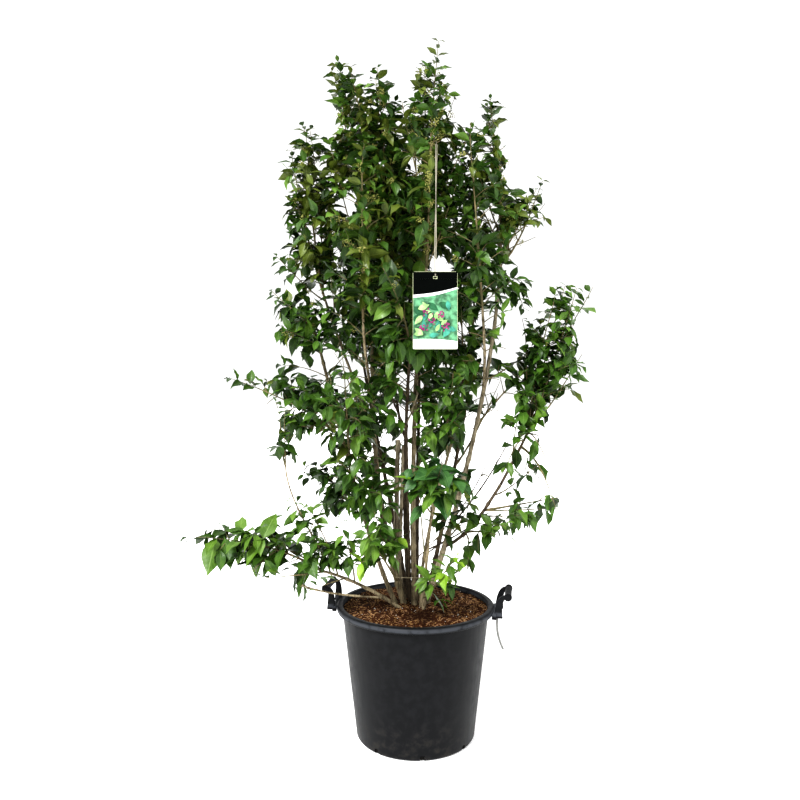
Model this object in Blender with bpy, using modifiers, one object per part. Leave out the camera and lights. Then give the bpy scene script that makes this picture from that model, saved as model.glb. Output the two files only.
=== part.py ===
"""Potted profusion beautyberry: a many-stemmed flowering shrub in a black nursery pot with two handles.

Metres, +Z up. The origin is the centre of the pot's flat underside, and -Y faces the viewer.
"""
import math
import random

import bmesh
import bpy
from mathutils import Matrix, Vector
from mathutils.bvhtree import BVHTree

OBJECT_NAME = "potted_profusion_beautyberry"
UP = Vector((0.0, 0.0, 1.0))
GAP = 0.0003

# Pot: a tapered tub with a turned-down lip
POT_SEGMENTS = 40
POT_HEIGHT = 0.420
RIM_RADIUS = 0.257
LIP_DEPTH = 0.019
LIP_ROUND = 0.004
LIP_TAPER = 0.001
LIP_TOP_THICKNESS = 0.006
BODY_TOP_RADIUS = 0.2385
BASE_RADIUS = 0.190
BASE_ROUND = 0.012
WALL = 0.003
FLOOR = 0.004
SOIL_TOP = 0.402

# Drainage slots, cut through the foot of the wall
SLOT_COUNT = 8
SLOT_FIRST_ANGLE = math.radians(-85.0)
SLOT_WIDTH = 0.014
SLOT_HEIGHT = 0.018
SLOT_DEPTH = 0.034

# Bow handles, seated on the lip
HANDLE_TURN = math.radians(-9.5)
GRIP_RADIUS = 0.011
GRIP_LENGTH = 0.112
GRIP_REACHES = {"handle_right": 0.302, "handle_left": 0.290}
GRIP_HEIGHT = 0.466
ARM_SPREAD = 0.050
ARM_WIDTH = 0.021
ARM_THICKNESS = 0.008
ARM_FOOT_REACH = 0.268
ARM_FOOT_HEIGHT = 0.397
LUG_HALF_SPAN = 0.060
LUG_INNER = 0.249
LUG_OUTER = 0.272
LUG_BOTTOM = 0.395
LUG_TOP = 0.413
TIE_WIDTH = 0.004
TIE_THICKNESS = 0.001
TIE_DROP = 0.095
TIE_CURL = 0.018

# Hang tag, held by a strap looped over one twig
TAG_WIDTH = 0.134
TAG_HEIGHT = 0.233
TAG_THICKNESS = 0.001
TAG_TOP = 1.477
TAG_LEFT = -0.012
TAG_Y = -0.235
TAG_CORNER = 0.006
TAG_SLOT_WIDTH = 0.010
TAG_SLOT_HEIGHT = 0.006
TAG_SLOT_DROP = 0.018
STRAP_WIDTH = 0.006
STRAP_THICKNESS = 0.0012
STRAP_RING = 0.0046
STRAP_WIRE = 0.0009
HOOK_RING = 0.0095
HANGER_MASS = "leaves_front_top"
HANGER_TWIG_PLACE = 0.86
HANGER_TWIG_REACH = (0.028, -0.018, 0.012)
HANGER_RING_PLACE = 0.60

# Limbs: name, carrier (None for the soil), place on it, the way it leaves, the way it arrives, tip,
# radius at the foot and at the tip. A place is a foot in the soil or a share of the carrier's length.
LIMBS = [
    ("stem_left", None, (-0.030, -0.018), (-0.110, -0.010, 0.330), (-0.010, 0.040, 0.450),
     (-0.146, 0.000, 1.413), 0.0105, 0.0060),
    ("stem_outer_left", None, (-0.054, -0.010), (-0.100, -0.040, 0.210), (-0.063, 0.000, 0.246),
     (-0.308, -0.060, 1.246), 0.0085, 0.0050),
    ("stem_pruned", None, (-0.036, 0.012), (-0.034, -0.004, 0.190), (0.008, -0.014, 0.200),
     (-0.056, -0.026, 0.952), 0.0100, 0.0080),
    ("stem_dark", None, (-0.011, 0.003), (-0.036, 0.006, 0.230), (0.014, -0.060, 0.220),
     (-0.020, -0.100, 1.223), 0.0095, 0.0050),
    ("stem_centre", None, (-0.001, -0.022), (-0.018, 0.014, 0.400), (0.048, 0.000, 0.380),
     (0.049, 0.000, 1.729), 0.0105, 0.0045),
    ("stem_right_long", None, (0.027, -0.006), (0.118, 0.004, 0.330), (0.000, 0.000, 0.377),
     (0.284, 0.000, 1.622), 0.0105, 0.0050),
    ("stem_right_lean", "stem_right_long", 0.19, (0.100, -0.030, 0.035), (0.060, 0.000, 0.120),
     (0.366, -0.030, 0.979), 0.0062, 0.0046),
    ("stem_right_inner", None, (0.012, 0.014), (0.010, 0.025, 0.240), (0.050, 0.005, 0.220),
     (0.158, 0.050, 1.080), 0.0062, 0.0045),
    ("stem_front", None, (0.024, -0.062), (0.004, -0.040, 0.160), (0.012, -0.050, 0.140),
     (0.050, -0.180, 0.785), 0.0055, 0.0040),
    ("stem_short", None, (0.022, -0.038), (0.002, -0.002, 0.025), (0.000, -0.002, 0.025),
     (0.020, -0.041, 0.495), 0.0115, 0.0095),
    ("stem_back_left", None, (-0.022, 0.034), (-0.040, 0.040, 0.260), (-0.045, 0.035, 0.260),
     (-0.180, 0.200, 1.200), 0.0090, 0.0050),
    ("stem_back", None, (0.004, 0.038), (0.002, 0.060, 0.280), (0.004, 0.030, 0.280),
     (0.020, 0.220, 1.250), 0.0090, 0.0050),
    ("stem_back_right", None, (0.037, 0.032), (0.050, 0.050, 0.240), (0.040, 0.030, 0.250),
     (0.200, 0.200, 1.150), 0.0090, 0.0050),
    ("arch_low_left", None, (-0.026, -0.052), (-0.070, -0.006, 0.060), (-0.080, -0.012, 0.020),
     (-0.300, -0.095, 0.548), 0.0070, 0.0045),
    ("twig_bare", "arch_low_left", 0.30, (-0.080, -0.050, 0.020), (-0.070, 0.000, 0.030),
     (-0.354, -0.140, 0.516), 0.0035, 0.0028),
    ("bough_far_left", "stem_left", 0.60, (-0.040, 0.030, 0.110), (-0.050, 0.000, 0.150),
     (-0.309, 0.040, 1.437), 0.0052, 0.0042),
    ("bough_centre_left", "stem_dark", 0.66, (-0.040, 0.030, 0.100), (0.000, -0.010, 0.180),
     (-0.080, -0.010, 1.444), 0.0050, 0.0042),
    ("bough_front", "stem_centre", 0.58, (0.010, -0.080, 0.120), (0.010, -0.030, 0.120),
     (0.032, -0.155, 1.500), 0.0052, 0.0042),
    ("bough_front_left", "stem_left", 0.70, (-0.010, -0.080, 0.100), (0.000, -0.040, 0.110),
     (-0.165, -0.150, 1.340), 0.0050, 0.0042),
    ("bough_front_right", "stem_right_long", 0.58, (0.000, -0.090, 0.110), (-0.010, -0.020, 0.110),
     (0.205, -0.150, 1.380), 0.0050, 0.0042),
    ("twig_arching", "arch_low_left", 0.88, (-0.030, -0.020, 0.100), (-0.002, 0.010, 0.120),
     (-0.411, -0.110, 0.890), 0.0028, 0.0024),
]

# Foliage masses: name, carrier, place on it, the way the mass's own stem leaves, its tip, the greatest
# half-width of the mass, and the share of the stem that is bare
MASSES = [
    ("leaves_leader", "stem_centre", 1.0, (0.000, 0.000, 0.250), (0.068, -0.020, 2.172), 0.120, 0.0),
    ("leaves_left_top", "stem_left", 1.0, (-0.020, 0.030, 0.380), (-0.243, 0.040, 2.150), 0.125, 0.0),
    ("leaves_left_second", "bough_centre_left", 1.0, (-0.010, 0.000, 0.300), (-0.118, -0.040, 2.090),
     0.125, 0.0),
    ("leaves_far_left", "bough_far_left", 1.0, (-0.040, 0.000, 0.200), (-0.362, 0.030, 1.925),
     0.125, 0.0),
    ("leaves_left_mid", "stem_outer_left", 1.0, (-0.020, 0.000, 0.080), (-0.405, -0.085, 1.385),
     0.125, 0.0),
    ("leaves_left_arm", "stem_outer_left", 0.66, (-0.080, -0.020, 0.090), (-0.515, -0.060, 1.125),
     0.110, 0.18),
    ("leaves_left_drop", "twig_arching", 1.0, (-0.002, 0.004, 0.040), (-0.415, -0.105, 0.985),
     0.090, 0.0),
    ("leaves_left_front", "stem_outer_left", 0.56, (0.000, -0.120, 0.100), (-0.215, -0.250, 1.160),
     0.130, 0.0),
    ("leaves_left_low", "stem_outer_left", 0.42, (-0.050, 0.030, 0.020), (-0.300, -0.010, 0.800),
     0.125, 0.0),
    ("leaves_left_inner", "stem_left", 0.34, (-0.030, -0.070, 0.060), (-0.190, -0.190, 0.860),
     0.105, 0.0),
    ("branch_low_left", "arch_low_left", 1.0, (-0.120, -0.010, 0.085), (-0.625, -0.120, 0.655),
     0.100, 0.0),
    ("rosette_low_left", "stem_left", 0.10, (-0.020, -0.080, 0.060), (-0.130, -0.200, 0.655),
     0.085, 0.45),
    ("rosette_centre", "stem_front", 1.0, (0.008, -0.030, 0.050), (0.066, -0.235, 0.870), 0.090, 0.0),
    ("sprig_pot_front", "stem_front", 0.14, (0.020, -0.030, 0.020), (0.085, -0.165, 0.560), 0.080, 0.2),
    ("sprig_low_right", "stem_right_lean", 0.22, (0.020, -0.050, 0.020), (0.225, -0.110, 0.670),
     0.085, 0.25),
    ("leaves_right_low", "stem_right_lean", 0.88, (0.050, -0.030, -0.030), (0.420, -0.090, 0.810),
     0.105, 0.0),
    ("leaves_far_right", "stem_right_lean", 1.0, (0.050, -0.010, 0.120), (0.500, -0.050, 1.370),
     0.125, 0.0),
    ("leaves_right_inner", "stem_right_long", 0.50, (0.050, 0.020, 0.070), (0.350, 0.010, 1.165),
     0.110, 0.0),
    ("arm_right_low", "stem_right_lean", 0.42, (0.060, 0.020, 0.005), (0.455, 0.000, 0.760), 0.085, 0.35),
    ("leaves_right_top", "stem_right_long", 1.0, (0.000, 0.000, 0.180), (0.252, 0.050, 2.020),
     0.120, 0.0),
    ("leaves_right_shoulder", "stem_right_long", 0.92, (0.050, -0.020, 0.040), (0.386, -0.045, 1.722),
     0.095, 0.0),
    ("leaves_front_top", "bough_front", 1.0, (0.006, -0.030, 0.190), (0.045, -0.215, 1.930), 0.120, 0.0),
    ("leaves_front_right", "bough_front_right", 1.0, (-0.015, -0.030, 0.200), (0.165, -0.205, 1.860),
     0.130, 0.0),
    ("leaves_front_left", "bough_front_left", 1.0, (0.000, -0.030, 0.150), (-0.165, -0.230, 1.780),
     0.130, 0.0),
    ("leaves_centre_front", "stem_dark", 1.0, (0.004, -0.060, 0.080), (-0.070, -0.270, 1.420),
     0.115, 0.0),
    ("leaves_centre_right", "stem_right_inner", 0.72, (-0.020, -0.100, 0.060), (0.105, -0.190, 1.110),
     0.115, 0.1),
    ("leaves_right_mid", "stem_right_inner", 1.0, (0.010, 0.000, 0.140), (0.150, 0.060, 1.480),
     0.120, 0.0),
    ("leaves_back_left", "stem_back_left", 1.0, (-0.010, 0.060, 0.240), (-0.205, 0.270, 1.830),
     0.140, 0.0),
    ("leaves_back", "stem_back", 1.0, (0.000, 0.050, 0.250), (0.030, 0.260, 1.960), 0.140, 0.0),
    ("leaves_back_right", "stem_back_right", 1.0, (0.020, 0.050, 0.220), (0.230, 0.250, 1.780),
     0.140, 0.0),
    ("leaves_back_low_left", "stem_back_left", 0.62, (-0.050, 0.070, 0.080), (-0.260, 0.320, 1.180),
     0.130, 0.0),
    ("leaves_back_low_right", "stem_back_right", 0.60, (0.060, 0.060, 0.060), (0.290, 0.280, 1.080),
     0.125, 0.0),
]

# How limbs and foliage grow
LIMB_RINGS = 5
LIMB_SIDES_EXTRA = 1
FOOT_FLARE = 0.25
FLARE_HEIGHT = 0.018
FLAT_ANGLE = math.radians(0.05)
NODE_SPACING = 0.155
AXIS_FOOT_RADIUS = 0.0046
AXIS_TIP_RADIUS = 0.0030
STEM_RING_SPACING = 0.16
TWIG_RADII = (0.0020, 0.0016)
PAIR_PLACE = 0.72
END_PLACE = 0.92
TWIG_SPREAD = math.radians(56.0)
TWIG_SHORTEST = 0.030
LEAF_LENGTH = 0.122
LEAF_WIDTH = 0.060
LEAF_THICKNESS = 0.0030
LEAF_WAIST = 0.42
LEAF_SPLAY = math.radians(68.0)
LEAF_DROOP = 0.80
LEAF_SINK = 0.0003
LEAF_TEST_START = 0.16
CLEAR_MARGIN = 0.0012
SPACE_REACH = 2.0

# Colours of the materials: base colour, roughness
PLASTIC_BLACK = ((0.018, 0.019, 0.021), 0.50)
SOIL_BROWN = ((0.115, 0.045, 0.020), 0.95)
BARK = ((0.190, 0.125, 0.070), 0.85)
LEAF_GREEN = ((0.050, 0.135, 0.020), 0.50)
TAG_PRINT = ((0.240, 0.520, 0.330), 0.35)
STRAP_PALE = ((0.560, 0.520, 0.420), 0.50)
TIE_GREY = ((0.300, 0.300, 0.280), 0.50)


def material(name, finish):
    """Principled material with the finish's base colour and roughness."""
    colour, roughness = finish
    made = bpy.data.materials.get(name)
    if made is None:
        made = bpy.data.materials.new(name)
        made.use_nodes = True
        shader = made.node_tree.nodes["Principled BSDF"]
        shader.inputs["Base Color"].default_value = (*colour, 1.0)
        shader.inputs["Roughness"].default_value = roughness
    return made


def new_collection(name):
    made = bpy.data.collections.new(name)
    bpy.context.scene.collection.children.link(made)
    return made


def place(name, mesh, collection):
    made = bpy.data.objects.new(name, mesh)
    collection.objects.link(made)
    return made


def mesh_of(bm, name):
    """Mesh from a bmesh, with its faces pointing out."""
    bmesh.ops.recalc_face_normals(bm, faces=bm.faces)
    mesh = bpy.data.meshes.new(name)
    bm.to_mesh(mesh)
    bm.free()
    return mesh


def evaluated_mesh(item):
    """Plain mesh of an object as it looks with its modifiers."""
    bpy.context.view_layer.update()
    return bpy.data.meshes.new_from_object(item.evaluated_get(bpy.context.evaluated_depsgraph_get()))


def hide_guide(item):
    item.hide_render = True
    item.display_type = "WIRE"


def box(name, size, matrix):
    """Mesh of a box of a given size, put in place by a matrix."""
    bm = bmesh.new()
    bmesh.ops.create_cube(bm, size=1.0, matrix=matrix @ Matrix.Diagonal((*size, 1.0)))
    return mesh_of(bm, name)


def turned(name, profile, collection):
    """Object turned about Z from a profile that runs down its outer side."""
    mesh = bpy.data.meshes.new(name)
    points = [(radius, 0.0, height) for radius, height in profile]
    mesh.from_pydata(points, [(i, i + 1) for i in range(len(points) - 1)], [])
    made = place(name, mesh, collection)
    screw = made.modifiers.new("Screw", "SCREW")
    screw.steps = POT_SEGMENTS
    screw.render_steps = POT_SEGMENTS
    screw.use_merge_vertices = True
    screw.merge_threshold = 0.0001
    return made


def arc(centre, radius, start, end, steps):
    """Points of an arc in a turned profile, with the angles in degrees from the outward direction."""
    angles = [math.radians(start + (end - start) * i / steps) for i in range(steps + 1)]
    return [(centre[0] + radius * math.cos(a), centre[1] + radius * math.sin(a)) for a in angles]


def body_radius(height):
    """Outer radius of the pot's tapered wall."""
    return BASE_RADIUS + (BODY_TOP_RADIUS - BASE_RADIUS) * height / (POT_HEIGHT - LIP_DEPTH)


def frame_along(origin, along, upward):
    """Matrix whose Y axis runs along a direction and whose Z axis leans towards another."""
    y = along.normalized()
    x = y.cross(upward).normalized()
    z = x.cross(y)
    return Matrix.Translation(origin) @ Matrix((x, y, z)).transposed().to_4x4()


def on_curve(controls, t):
    """Point of the Bezier curve over a control polygon."""
    points = list(controls)
    while len(points) > 1:
        points = [a.lerp(b, t) for a, b in zip(points, points[1:])]
    return points[0]


class Limb:
    """Tapering limb along a smooth curve."""

    def __init__(self, controls, foot_radius, tip_radius, flared=False):
        self.controls = [Vector(point) for point in controls]
        self.foot_radius = foot_radius
        self.tip_radius = tip_radius
        self.flared = flared
        steps = [self.at(i / 20) for i in range(21)]
        self.length = sum((b - a).length for a, b in zip(steps, steps[1:]))

    def at(self, t):
        return on_curve(self.controls, t)

    def heading(self, t):
        step = 0.01
        return (self.at(min(t + step, 1.0)) - self.at(max(t - step, 0.0))).normalized()

    def end_heading(self):
        """Way the last stretch of the limb's mesh runs, which its flat end is square to."""
        return (self.at(1.0) - self.at(1.0 - 1.0 / LIMB_RINGS)).normalized()

    def radius(self, t):
        plain = self.foot_radius + (self.tip_radius - self.foot_radius) * t
        if not self.flared:
            return plain
        return plain * (1.0 + FOOT_FLARE * math.exp(-t * self.length / FLARE_HEIGHT))


def section(name, corners, collection):
    """Closed flat outline that a curve is swept with."""
    data = bpy.data.curves.new(name, "CURVE")
    data.dimensions = "2D"
    spline = data.splines.new("POLY")
    spline.points.add(len(corners) - 1)
    for point, corner in zip(spline.points, corners):
        point.co = (*corner, 0.0, 1.0)
    spline.use_cyclic_u = True
    made = bpy.data.objects.new(name, data)
    collection.objects.link(made)
    hide_guide(made)
    return made


def swept(name, points, radii, outline=None):
    """Closed mesh of a curve swept through points, round or with its own outline."""
    data = bpy.data.curves.new(name, "CURVE")
    data.dimensions = "3D"
    data.fill_mode = "FULL"
    data.use_fill_caps = True
    if outline:
        data.bevel_mode = "OBJECT"
        data.bevel_object = outline
    else:
        data.bevel_depth = 1.0
        data.bevel_resolution = LIMB_SIDES_EXTRA
    spline = data.splines.new("POLY")
    spline.points.add(len(points) - 1)
    for slot, point, radius in zip(spline.points, points, radii):
        slot.co = (*point, 1.0)
        slot.radius = radius
    guide = bpy.data.objects.new(name, data)
    bpy.context.scene.collection.objects.link(guide)
    mesh = evaluated_mesh(guide)
    bpy.data.objects.remove(guide)
    bpy.data.curves.remove(data)
    bm = bmesh.new()
    bm.from_mesh(mesh)
    bpy.data.meshes.remove(mesh)
    bmesh.ops.remove_doubles(bm, verts=bm.verts, dist=1e-6)
    return mesh_of(bm, name)


def cut_flat(mesh, point, normal):
    """Cut away what lies behind a plane and close the cut with a flat face."""
    bm = bmesh.new()
    bm.from_mesh(mesh)
    everything = bm.verts[:] + bm.edges[:] + bm.faces[:]
    cut = bmesh.ops.bisect_plane(bm, geom=everything, plane_co=point, plane_no=normal,
                                 clear_inner=True, dist=1e-7)
    rim = [edge for edge in cut["geom_cut"] if isinstance(edge, bmesh.types.BMEdge)]
    bmesh.ops.contextual_create(bm, geom=rim)
    bmesh.ops.recalc_face_normals(bm, faces=bm.faces)
    bm.to_mesh(mesh)
    bm.free()


def tree_of(mesh):
    return BVHTree.FromPolygons([v.co.copy() for v in mesh.vertices], [p.vertices[:] for p in mesh.polygons])


def seat_plane(limb, carrier, place_on, tree):
    """Plane that a side limb's foot is cut to, a hair off its carrier's flank."""
    centre = carrier.at(place_on)
    along = carrier.heading(place_on)
    heading = limb.heading(0.0)
    outward = (heading - along * heading.dot(along)).normalized()
    sideways = along.cross(outward)
    start = 3.0 * carrier.foot_radius
    radius = limb.radius(0.0)
    lean = max(abs(heading.dot(outward)), 0.3)
    nearest = start
    for i in range(-6, 7):
        for j in range(-4, 5):
            offset = along * (radius / lean * i / 6) + sideways * (radius * j / 4)
            hit = tree.ray_cast(centre + outward * start + offset, -outward, start)
            if hit[0] is not None:
                nearest = min(nearest, hit[3])
    return centre + outward * (start - nearest + GAP), outward


def make_pot(parts, cutters):
    """Turned tub with a turned-down lip, slotted round its foot."""
    inner_top = body_radius(POT_HEIGHT) - WALL
    lip_bottom = POT_HEIGHT - LIP_DEPTH
    lip_ceiling = POT_HEIGHT - LIP_TOP_THICKNESS
    skirt = RIM_RADIUS - LIP_TAPER
    profile = [(0.0, FLOOR), (body_radius(FLOOR) - WALL, FLOOR), (inner_top, POT_HEIGHT)]
    profile += arc((RIM_RADIUS - LIP_ROUND, POT_HEIGHT - LIP_ROUND), LIP_ROUND, 90.0, 0.0, 2)
    profile += [(skirt, lip_bottom), (skirt - WALL, lip_bottom), (skirt - WALL, lip_ceiling)]
    profile += [(body_radius(lip_ceiling), lip_ceiling)]
    profile += arc((body_radius(BASE_ROUND) - BASE_ROUND, BASE_ROUND), BASE_ROUND, 0.0, -90.0, 3)
    profile += [(0.0, 0.0)]
    pot = turned("pot", profile, parts)
    slots = new_collection("slot_cutters")
    for i in range(SLOT_COUNT):
        turn = Matrix.Rotation(SLOT_FIRST_ANGLE + math.tau * i / SLOT_COUNT, 4, "Z")
        offset = Matrix.Translation((BASE_RADIUS, 0.0, 0.0))
        size = (SLOT_DEPTH, SLOT_WIDTH, 2.0 * SLOT_HEIGHT)
        slots.objects.link(place(f"slot_{i}", box(f"slot_{i}", size, turn @ offset), cutters))
    for slot in slots.objects:
        hide_guide(slot)
    cut = pot.modifiers.new("Slots", "BOOLEAN")
    cut.operation = "DIFFERENCE"
    cut.operand_type = "COLLECTION"
    cut.collection = slots
    pot.data.materials.append(material("pot_plastic", PLASTIC_BLACK))
    return pot


def make_soil(parts):
    """Plug of potting mix that fills the pot."""
    bottom = FLOOR + GAP
    clearance = WALL + GAP
    profile = [(0.0, SOIL_TOP), (body_radius(SOIL_TOP) - clearance, SOIL_TOP)]
    profile += [(body_radius(bottom) - clearance, bottom), (0.0, bottom)]
    soil = turned("soil", profile, parts)
    soil.data.materials.append(material("potting_mix", SOIL_BROWN))
    return soil


def make_handle(name, turn, parts, cutters):
    """Round grip on two sloping arms, which stand on a lug that wraps the lip."""
    grip_reach = GRIP_REACHES[name]
    spin = Matrix.Rotation(turn, 4, "Z")
    bm = bmesh.new()
    bmesh.ops.create_cone(bm, cap_ends=True, segments=12, radius1=GRIP_RADIUS, radius2=GRIP_RADIUS,
                          depth=GRIP_LENGTH,
                          matrix=spin @ Matrix.Translation((grip_reach, 0.0, GRIP_HEIGHT))
                          @ Matrix.Rotation(math.radians(90.0), 4, "X"))
    pieces = [mesh_of(bm, name)]
    foot = Vector((ARM_FOOT_REACH, 0.0, ARM_FOOT_HEIGHT))
    head = Vector((grip_reach, 0.0, GRIP_HEIGHT))
    for side in (-1.0, 1.0):
        middle = (foot + head) / 2.0 + Vector((0.0, side * ARM_SPREAD, 0.0))
        tilt = frame_along(middle, head - foot, Vector((0.0, 1.0, 0.0)))
        size = (ARM_WIDTH, (head - foot).length, ARM_THICKNESS)
        pieces.append(box(f"{name}_arm", size, spin @ tilt))
    lug_middle = ((LUG_INNER + LUG_OUTER) / 2.0, 0.0, (LUG_BOTTOM + LUG_TOP) / 2.0)
    lug_size = (LUG_OUTER - LUG_INNER, 2.0 * LUG_HALF_SPAN, LUG_TOP - LUG_BOTTOM)
    pieces.append(box(f"{name}_lug", lug_size, spin @ Matrix.Translation(lug_middle)))
    handle = place(name, fuse(name, pieces), parts)
    outside = RIM_RADIUS + GAP
    rim = turned(f"{name}_rim_cutter", [(0.0, GRIP_HEIGHT), (outside, GRIP_HEIGHT),
                                        (outside, 0.3), (0.0, 0.3)], cutters)
    hide_guide(rim)
    cut = handle.modifiers.new("Rim", "BOOLEAN")
    cut.operation = "DIFFERENCE"
    cut.object = rim
    handle.data.materials.append(material("pot_plastic", PLASTIC_BLACK))
    return handle


def make_handle_tie(parts, strip):
    """Thin strip that hangs under the near end of the right handle's lug."""
    spin = Matrix.Rotation(HANDLE_TURN, 4, "Z")
    top = spin @ Vector((LUG_OUTER - TIE_WIDTH, 2.0 * ARM_THICKNESS - LUG_HALF_SPAN, LUG_BOTTOM - GAP))
    points = []
    for i in range(7):
        t = i / 6
        points.append(top + Vector((TIE_CURL * (t * t * 1.6 - 0.6 * t), 0.0, -TIE_DROP * t)))
    mesh = swept("handle_tie", points, [1.0] * len(points), strip)
    cut_flat(mesh, top - UP * GAP, -UP)
    mesh.materials.append(material("tie_plastic", TIE_GREY))
    return place("handle_tie", mesh, parts)


def piece_closed(mesh):
    """Whether a mesh is one closed body with some volume."""
    bm = bmesh.new()
    bm.from_mesh(mesh)
    closed = len(bm.faces) > 0 and all(len(edge.link_faces) == 2 for edge in bm.edges)
    volume = bm.calc_volume() if closed else 0.0
    bm.free()
    return closed and volume > 0.0


def keep_largest_shell(bm):
    """Drop loose scraps and the inner shells of sealed hollows, which are all smaller than the body."""
    left = set(bm.faces)
    shells = []
    while left:
        front = [left.pop()]
        shell = set(front)
        while front:
            for edge in front.pop().edges:
                for face in edge.link_faces:
                    if face in left:
                        left.discard(face)
                        shell.add(face)
                        front.append(face)
        shells.append(shell)
    shells.sort(key=len)
    for shell in shells[:-1]:
        bmesh.ops.delete(bm, geom=list(shell), context="FACES")
    bmesh.ops.delete(bm, geom=[v for v in bm.verts if not v.link_faces], context="VERTS")


def union_of(name, pieces, solver):
    """Union of overlapping meshes by one modifier on a collection, cleaned and in triangles."""
    others = new_collection(f"{name}_pieces")
    base = place(name, pieces[0], bpy.context.scene.collection)
    for i, mesh in enumerate(pieces[1:]):
        place(f"{name}_{i}", mesh, others)
    union = base.modifiers.new("Union", "BOOLEAN")
    union.operation = "UNION"
    union.operand_type = "COLLECTION"
    union.collection = others
    union.solver = solver
    mesh = evaluated_mesh(base)
    for item in [*others.objects, base]:
        bpy.data.objects.remove(item)
    bpy.data.collections.remove(others)
    bm = bmesh.new()
    bm.from_mesh(mesh)
    bmesh.ops.remove_doubles(bm, verts=bm.verts, dist=1e-6)
    bmesh.ops.dissolve_degenerate(bm, edges=bm.edges, dist=1e-6)
    bmesh.ops.dissolve_limit(bm, angle_limit=FLAT_ANGLE, verts=bm.verts, edges=bm.edges)
    bmesh.ops.triangulate(bm, faces=bm.faces)
    keep_largest_shell(bm)
    bm.to_mesh(mesh)
    bm.free()
    mesh.name = name
    return mesh


def fuse(name, pieces):
    """One closed mesh from overlapping ones; where no union closes, the last piece is left out."""
    kept = list(pieces)
    while kept:
        for solver in ("EXACT", "MANIFOLD"):
            mesh = union_of(name, kept, solver)
            if piece_closed(mesh):
                return mesh
        kept.pop()
    return None


def make_limbs(parts):
    """All stems and boughs; returns each limb's curve and its search tree."""
    limbs = {}
    trees = {}
    bark = material("bark", BARK)
    for name, carrier, place_on, leaving, arriving, tip, foot_radius, tip_radius in LIMBS:
        if carrier is None:
            foot = Vector((*place_on, SOIL_TOP + GAP))
        else:
            foot = limbs[carrier].at(place_on)
        tip = Vector(tip)
        controls = [foot, foot + Vector(leaving), tip - Vector(arriving), tip]
        limb = Limb(controls, foot_radius, tip_radius, flared=carrier is None)
        shares = [i / LIMB_RINGS for i in range(LIMB_RINGS + 1)]
        if carrier is None:
            shares = sorted(shares + [FLARE_HEIGHT / limb.length, 3.0 * FLARE_HEIGHT / limb.length])
            cut_point, cut_normal = foot, UP
        else:
            cut_point, cut_normal = seat_plane(limb, limbs[carrier], place_on, trees[carrier])
        points = [limb.at(t) for t in shares]
        radii = [limb.radius(t) for t in shares]
        points.insert(0, foot - limb.heading(0.0) * 4.0 * foot_radius)
        radii.insert(0, radii[0])
        mesh = swept(name, points, radii)
        cut_flat(mesh, cut_point, cut_normal)
        mesh.materials.append(bark)
        place(name, mesh, parts)
        limbs[name] = limb
        trees[name] = tree_of(mesh)
    return limbs, trees


def mass_stems(limbs, trees):
    """Curve of each mass's own stem, with the plane its foot is cut to."""
    stems = {}
    for name, carrier, place_on, leaving, tip, wide, bare in MASSES:
        foot = limbs[carrier].at(place_on)
        controls = [foot, foot + Vector(leaving), Vector(tip)]
        radius = min(limbs[carrier].radius(place_on), AXIS_FOOT_RADIUS)
        stem = Limb(controls, radius, AXIS_TIP_RADIUS)
        if place_on == 1.0:
            heading = limbs[carrier].end_heading()
            plane = (foot + heading * GAP, heading)
        else:
            plane = seat_plane(stem, limbs[carrier], place_on, trees[carrier])
        stems[name] = (stem, plane, wide, bare)
    return stems


def half_width(wide, t):
    """Half-width of a mass at a share of its stem: narrow at the foot, full, then drawn to a tip."""
    return wide * math.sin(math.pi * (0.12 + 0.80 * t)) ** 0.6


def leaf_pattern():
    """Corners and faces of a unit leaf: a four-sided ball with its poles along Y."""
    bm = bmesh.new()
    bmesh.ops.create_uvsphere(bm, u_segments=4, v_segments=2, radius=1.0,
                              matrix=Matrix.Rotation(math.radians(90.0), 4, "X"))
    corners = [v.co.copy() for v in bm.verts]
    faces = [[v.index for v in face.verts] for face in bm.faces]
    bm.free()
    return corners, faces


LEAF_CORNERS, LEAF_FACES = leaf_pattern()


def leaf_points(frame, length, width, thickness, start=0.0):
    """Corners of a leaf in its frame, with its widest place nearer the stalk; start cuts its foot off."""
    placed = []
    for corner in LEAF_CORNERS:
        y = length * LEAF_WAIST
        if abs(corner.y) > 0.5:
            y = length if corner.y > 0.0 else length * start
        placed.append(frame @ Vector((corner.x * width / 2.0, y, corner.z * thickness / 2.0)))
    return placed


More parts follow.
